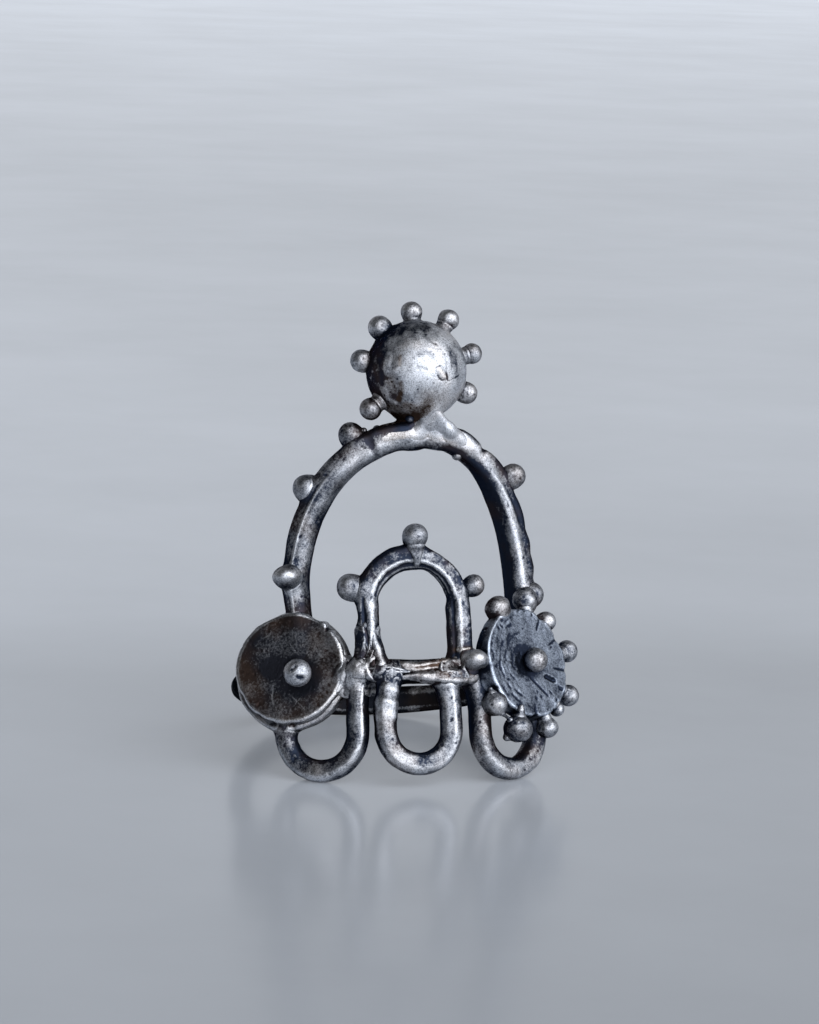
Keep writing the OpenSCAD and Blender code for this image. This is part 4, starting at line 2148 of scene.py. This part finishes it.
@dataclass
class Graph:
    """Short way to write a node tree."""

    tree: bpy.types.NodeTree

    def add(self, kind: str, feeds: dict, **settings: object) -> bpy.types.Node:
        """Adds a node, sets what it is, and feeds its inputs with values or other nodes' outputs.

        Args:
            kind: kind of the node.
            feeds: value or output for each input, by name or number.
            settings: what else the node is set to.

        Returns:
            The node.
        """
        node = self.tree.nodes.new(kind)
        for name, value in settings.items():
            setattr(node, name, value)
        self.feed(node, feeds)
        return node

    def feed(self, node: bpy.types.Node, feeds: dict) -> None:
        """Feeds a node's inputs with values or other nodes' outputs.

        Args:
            node: the node.
            feeds: value or output for each input, by name or number.
        """
        for name, feed in feeds.items():
            if isinstance(feed, Socket):
                self.tree.links.new(feed, node.inputs[name])
            else:
                node.inputs[name].default_value = feed

    def sum(self, how: Sum, first: Feed, second: Feed) -> Socket:
        """First and second, added, taken away or multiplied."""
        return self.add("ShaderNodeMath", {0: first, 1: second}, operation=how.value).outputs[0]

    def mix(self, share: Feed, first: Feed, second: Feed) -> Socket:
        """Colour between first and second."""
        return self.add("ShaderNodeMix", {0: share, 6: first, 7: second}, data_type="RGBA").outputs[2]

    def span(self, value: Feed, low: float, high: float, bottom: float = 0.0, top: float = 1.0) -> Socket:
        """Value taken from low..high to bottom..top, and held there."""
        return self.add("ShaderNodeMapRange", {0: value, 1: low, 2: high, 3: bottom, 4: top}).outputs[0]

    def noise(self, place: Socket, size: float, detail: float = 4.0) -> Socket:
        """Cloudy pattern whose lumps are about a size in mm."""
        return self.add("ShaderNodeTexNoise", {"Vector": place, "Scale": 1 / (size * MM), "Detail": detail,
                                               "Roughness": 0.6}).outputs[0]


@dataclass(frozen=True)
class Finish:
    """Blackened silver.

    Args:
        name: its name.
        show: how much silver shows where nothing is painted.
        silver: colour of the silver.
        cool: the bluish black.
        brown: the brownish black.
        blotch: how much the clouds add and take.
        specks: how dark the stipple is.
        grit: how much the grit adds and takes.
        rough_silver: roughness of the silver.
        rough_black: roughness of the black.
        bump: strength of the fine bumps.
    """

    name: str
    show: float = 0.5
    silver: Four = (0.68, 0.69, 0.71, 1)
    cool: Four = (0.026, 0.034, 0.056, 1)
    brown: Four = (0.07, 0.045, 0.034, 1)
    blotch: float = 0.26
    specks: float = 0.5
    grit: float = 0.22
    rough_silver: float = 0.27
    rough_black: float = 0.46
    bump: float = 0.35

    def material(self) -> bpy.types.Material:
        """Metal whose colour runs from black to silver with the rub and highlight and the soot and shade
        painted on the skin.

        Returns:
            The material.
        """
        made = bpy.data.materials.new(self.name)
        made.use_nodes = True
        graph = Graph(made.node_tree)
        shader = made.node_tree.nodes["Principled BSDF"]
        place = graph.add("ShaderNodeTexCoord", {}).outputs["Object"]
        # Darkening that is patina and painted shade, brightening that is wear and painted highlight, and the
        # brown or blue tint
        soot, rub, warm = (graph.add("ShaderNodeAttribute", {}, attribute_name=name).outputs["Fac"]
                           for name in ("soot", "rub", "warm"))
        broad, fine = graph.noise(place, CLOUD, 6), graph.noise(place, GRIT, 3)
        stipple = graph.noise(place, STIPPLE, 1)
        stain = graph.noise(place, STAIN, 2)
        rub_and_highlight_part = graph.sum(Sum.TIMES, rub, 0.9)
        cover = graph.sum(Sum.ADD, rub_and_highlight_part, graph.span(broad, 0.36, 0.64, -self.blotch, self.blotch))
        cover = graph.sum(Sum.ADD, cover, graph.span(fine, 0.3, 0.7, -self.grit, self.grit))
        cover = graph.sum(Sum.TAKE, cover, soot)
        cover = graph.span(graph.sum(Sum.ADD, cover, self.show), 0.0, 1.0)
        cover = graph.sum(Sum.TIMES, cover, graph.span(stipple, 0.37, 0.48, 1 - self.specks, 1.0))
        tint = graph.span(graph.sum(Sum.ADD, graph.span(stain, 0.35, 0.65, -0.3, 0.6), warm), 0.0, 1.0)
        black = graph.mix(tint, self.cool, self.brown)
        bluish, pinkish = (tuple(np.multiply(self.silver, tone)) for tone in (BLUISH, PINKISH))
        bare = graph.mix(tint, bluish, pinkish)
        colour = graph.mix(cover, black, bare)
        gloss = graph.sum(Sum.ADD, graph.span(cover, 0, 1, self.rough_black, self.rough_silver),
                          graph.span(fine, 0.3, 0.7, -0.05, 0.07))
        dimples = graph.add("ShaderNodeTexVoronoi", {"Vector": place, "Scale": 1 / (DIMPLE * MM)})
        soft = graph.sum(Sum.TIMES, fine, 0.7)
        height = graph.sum(Sum.ADD, soft, graph.span(dimples.outputs["Distance"], 0.0, 0.35, 0.0, 0.5))
        bump = graph.add("ShaderNodeBump", {"Height": height, "Strength": self.bump,
                                            "Distance": DIMPLE_DEPTH * MM})
        graph.feed(shader, {"Metallic": 1.0, "Base Color": colour,
                            "Specular Tint": graph.mix(cover, BLACK_EDGE, BARE_EDGE),
                            "Roughness": gloss, "Normal": bump.outputs["Normal"]})
        return made


def show(name: str, skins: list[Skin], material: bpy.types.Material) -> bpy.types.Object:
    """Makes one object of the worn skins of a piece, rubs their crests and hands it to the frame.

    Args:
        name: name of the piece.
        skins: its skins, in the finger's frame.
        material: its finish.

    Returns:
        The object, with its place in its mesh and the shades soot, rub and warm on its points.
    """
    for skin in skins:
        skin.wear()
    starts = np.cumsum([0] + [len(skin.points) for skin in skins])
    points = SEAT.lay(np.concatenate([skin.points for skin in skins]))
    quads = np.concatenate([skin.quads + start for skin, start in zip(skins, starts)])
    tris = np.concatenate([skin.tris + start for skin, start in zip(skins, starts)])
    mesh = bpy.data.meshes.new(name)
    mesh.vertices.add(len(points))
    mesh.vertices.foreach_set("co", points.ravel())
    corners = np.concatenate([quads.ravel(), tris.ravel()])
    sizes = np.concatenate([np.full(len(quads), 4), np.full(len(tris), 3)])
    mesh.loops.add(len(corners))
    mesh.loops.foreach_set("vertex_index", corners)
    mesh.polygons.add(len(sizes))
    mesh.polygons.foreach_set("loop_start", np.concatenate([[0], np.cumsum(sizes)[:-1]]))
    mesh.polygons.foreach_set("use_smooth", np.ones(len(sizes), bool))
    mesh.update(calc_edges=True)
    for shade in ("soot", "rub", "warm"):
        values = np.concatenate([getattr(skin, shade) for skin in skins])
        mesh.attributes.new(shade, "FLOAT", "POINT").data.foreach_set("value", values)
    mesh.materials.append(material)
    made = bpy.data.objects.new(name, mesh)
    bpy.context.collection.objects.link(made)
    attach(made, BODY)
    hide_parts(NODE)
    log.info("%s: %d points, %d faces", name, len(points), len(sizes))
    return made


WIRE_FINISH = Finish("silver_wire", 0.37, blotch=0.22, rough_silver=0.37, bump=0.42, grit=0.26)
OTHER_FINISHES = {
    "ball": Finish("silver_ball", 1.0, (0.82, 0.83, 0.85, 1), blotch=0.26, rough_silver=0.48),
    "left_disc": Finish("silver_plate", 0.5, cool=(0.03, 0.032, 0.042, 1), blotch=0.02, bump=0.6, grit=0.17),
    "right_disc": Finish("silver_disc", 0.55, (0.56, 0.62, 0.71, 1), blotch=0.12, bump=0.5),
    # The band is painted almost black, as painted shade where it lies in shadow behind the loops and the bar
    "band": Finish("silver_band", -0.1, cool=(0.013, 0.015, 0.021, 1), brown=(0.042, 0.03, 0.024, 1),
                   rough_black=0.5)}


@dataclass
class Ring:
    """The whole ring."""

    pieces: tuple[Piece, ...] = field(default_factory=lambda: (
        Band(), FrontBar(), LargeArch(), SmallArch(), HangingLoops(), LeftDisc(), Pin(), RightDisc(),
        RimGrains(), ArchGrains(), Ball(), HaloGrains()))

    def build(self) -> None:
        """Works every piece where the others meet it, and shows it in its finish."""
        metal = Metalwork()
        for piece in self.pieces:
            metal.add(*piece.solids())
        wire_finish = WIRE_FINISH.material()
        others = {name: finish.material() for name, finish in OTHER_FINISHES.items()}
        for piece in self.pieces:
            skins = piece.skins(metal)
            if isinstance(piece, HangingLoops):
                for skin in skins:
                    show(skin.owner, [skin], wire_finish)
            else:
                show(piece.name, skins, others.get(piece.name, wire_finish))


# Studio


@dataclass
class Studio:
    """Pale floor, painted darker in front and glowing as painted light, in plain pale light, and the camera.

    Args:
        floor_half: half the floor's width in metres.
        tint: its colour.
        painted_light_stops: how pale it is painted from the front to the back, as painted light and shade,
            each with its place from 0 to 1.
        dim: how bright the sky is where nothing glows.
        painted_floor_glow: how much the floor glows behind, as painted light.
        lamp: strength and width in degrees of the lamp.
        lamp_way: direction to the lamp.
        painted_glow_fade: from where to where, in metres, the floor's painted glow fades, and how strong it
            is in front.
        glows: the sky's glows, each with its direction, where it starts and is full, and its strength.
    """

    floor_half: float = 4.0
    tint: Three = (0.93, 1.0, 1.11)
    painted_light_stops: tuple[tuple[float, float], ...] = (
        (0.0, 0.325), (0.03, 0.345), (0.06, 0.375), (0.077, 0.365), (0.1, 0.455), (0.18, 0.505), (0.4, 0.525),
        (0.56, 0.61), (0.96, 0.77), (1.0, 0.79))
    dim: float = 0.03
    painted_floor_glow: float = 0.34
    lamp: tuple[float, float] = (0.45, 60.0)
    lamp_way: Three = (0.5, -0.72, 0.6)
    painted_glow_fade: Three = (-0.085, -0.065, 1.6)
    glows: tuple[tuple[Three, float, float, float], ...] = (
        ((0.36, -0.88, 0.3), 0.38, 0.9, 1.9), ((1.0, 0.1, 0.12), 0.35, 0.95, 0.35),
        ((-0.1, 1.0, 0.12), 0.5, 0.95, 0.4), ((-0.75, 0.45, 0.1), 0.7, 0.98, 0.15))

    def floor(self) -> None:
        """Wide floor, painted paler towards the back, and glowing as painted light, most in front."""
        half = self.floor_half
        mesh = bpy.data.meshes.new("floor")
        mesh.from_pydata([(-half, -half, 0), (half, -half, 0), (half, half * 2, 0), (-half, half * 2, 0)], [],
                         [(0, 1, 2, 3)])
        made = bpy.data.materials.new("floor")
        made.use_nodes = True
        graph = Graph(made.node_tree)
        shader = made.node_tree.nodes["Principled BSDF"]
        place = graph.add("ShaderNodeTexCoord", {}).outputs["Object"]
        parts = graph.add("ShaderNodeSeparateXYZ", {0: place}).outputs
        back = parts["Y"]
        # Painted light and shade: the floor's tone from the front to the back
        ramp = graph.add("ShaderNodeValToRGB", {0: graph.span(back, -0.06, 1.0)})
        while len(ramp.color_ramp.elements) < len(self.painted_light_stops):
            ramp.color_ramp.elements.new(0.5)
        for element, (spot, pale) in zip(ramp.color_ramp.elements, self.painted_light_stops):
            element.position = spot
            element.color = (*(min(pale * share, 1.0) for share in self.tint), 1)
        # Marble veins, and painted light: paler on the left and darker on the right
        veins_and_side_shade = graph.sum(Sum.TIMES, graph.span(graph.noise(place, 45, 5), 0.3, 0.7, 0.94, 1.06),
                          graph.span(parts["X"], -0.03, 0.03, 1.06, 0.95))
        colour = graph.add("ShaderNodeMix", {0: 1.0, 6: ramp.outputs["Color"], 7: veins_and_side_shade}, data_type="RGBA",
                           blend_type="MULTIPLY").outputs[2]
        # Painted glow of the floor, strongest in front
        front = graph.span(back, self.painted_glow_fade[0], self.painted_glow_fade[1], self.painted_glow_fade[2], self.painted_floor_glow)
        graph.feed(shader, {"Base Color": colour, "Emission Color": colour, "Emission Strength": front,
                            "Roughness": 0.19})
        mesh.materials.append(made)
        floor = bpy.data.objects.new("floor", mesh)
        bpy.context.collection.objects.link(floor)

    def light(self) -> None:
        """Sky of soft glows: a broad one from the front right, a pale one behind, and dim elsewhere."""
        world = bpy.data.worlds.new("studio")
        bpy.context.scene.world = world
        world.use_nodes = True
        graph = Graph(world.node_tree)
        way = graph.add("ShaderNodeTexCoord", {}).outputs["Generated"]
        glow: Feed = self.dim
        for direction, low, high, strength in self.glows:
            toward = graph.add("ShaderNodeVectorMath", {0: way, 1: unit(np.array(direction)).tolist()},
                               operation="DOT_PRODUCT").outputs["Value"]
            spot = graph.add("ShaderNodeMapRange", {0: toward, 1: low, 2: high, 3: 0.0, 4: strength},
                             interpolation_type="SMOOTHSTEP").outputs[0]
            glow = graph.sum(Sum.ADD, glow, spot)
        pale = graph.add("ShaderNodeMix", {0: 1.0, 6: (0.96, 0.985, 1.03, 1), 7: glow}, data_type="RGBA",
                         blend_type="MULTIPLY").outputs[2]
        graph.feed(world.node_tree.nodes["Background"], {"Color": pale})

    def sun(self) -> None:
        """Broad soft lamp from the front right, which gives the ring a soft shadow."""
        data = bpy.data.lights.new("lamp", "SUN")
        data.energy, data.angle, data.color = self.lamp[0], np.radians(self.lamp[1]), (1.0, 0.99, 0.97)
        made = bpy.data.objects.new("lamp", data)
        toward = unit(np.array(self.lamp_way))
        across = unit(np.cross([0.0, 0.0, 1.0], toward))
        made.matrix_world = Matrix(np.stack([across, np.cross(toward, across), toward], -1).tolist()).to_4x4()
        bpy.context.collection.objects.link(made)

    def camera(self) -> None:
        """Camera at the eye's place."""
        data = bpy.data.cameras.new("eye")
        data.sensor_fit, data.sensor_width, data.lens, data.clip_start = "AUTO", VIEW.sensor, VIEW.lens, 0.01
        made = bpy.data.objects.new("eye", data)
        made.matrix_world = VIEW.matrix()
        bpy.context.collection.objects.link(made)
        bpy.context.scene.camera = made

    def build(self) -> None:
        """Floor, light and camera."""
        self.floor()
        self.light()
        self.sun()
        self.camera()
        bpy.context.scene.view_settings.view_transform = "Standard"


def main() -> None:
    """Builds the ring and its studio."""
    logging.basicConfig(level=logging.INFO, format="%(name)s %(message)s")
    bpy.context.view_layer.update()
    Ring().build()
    Studio().build()


if __name__ == "__main__":
    main()
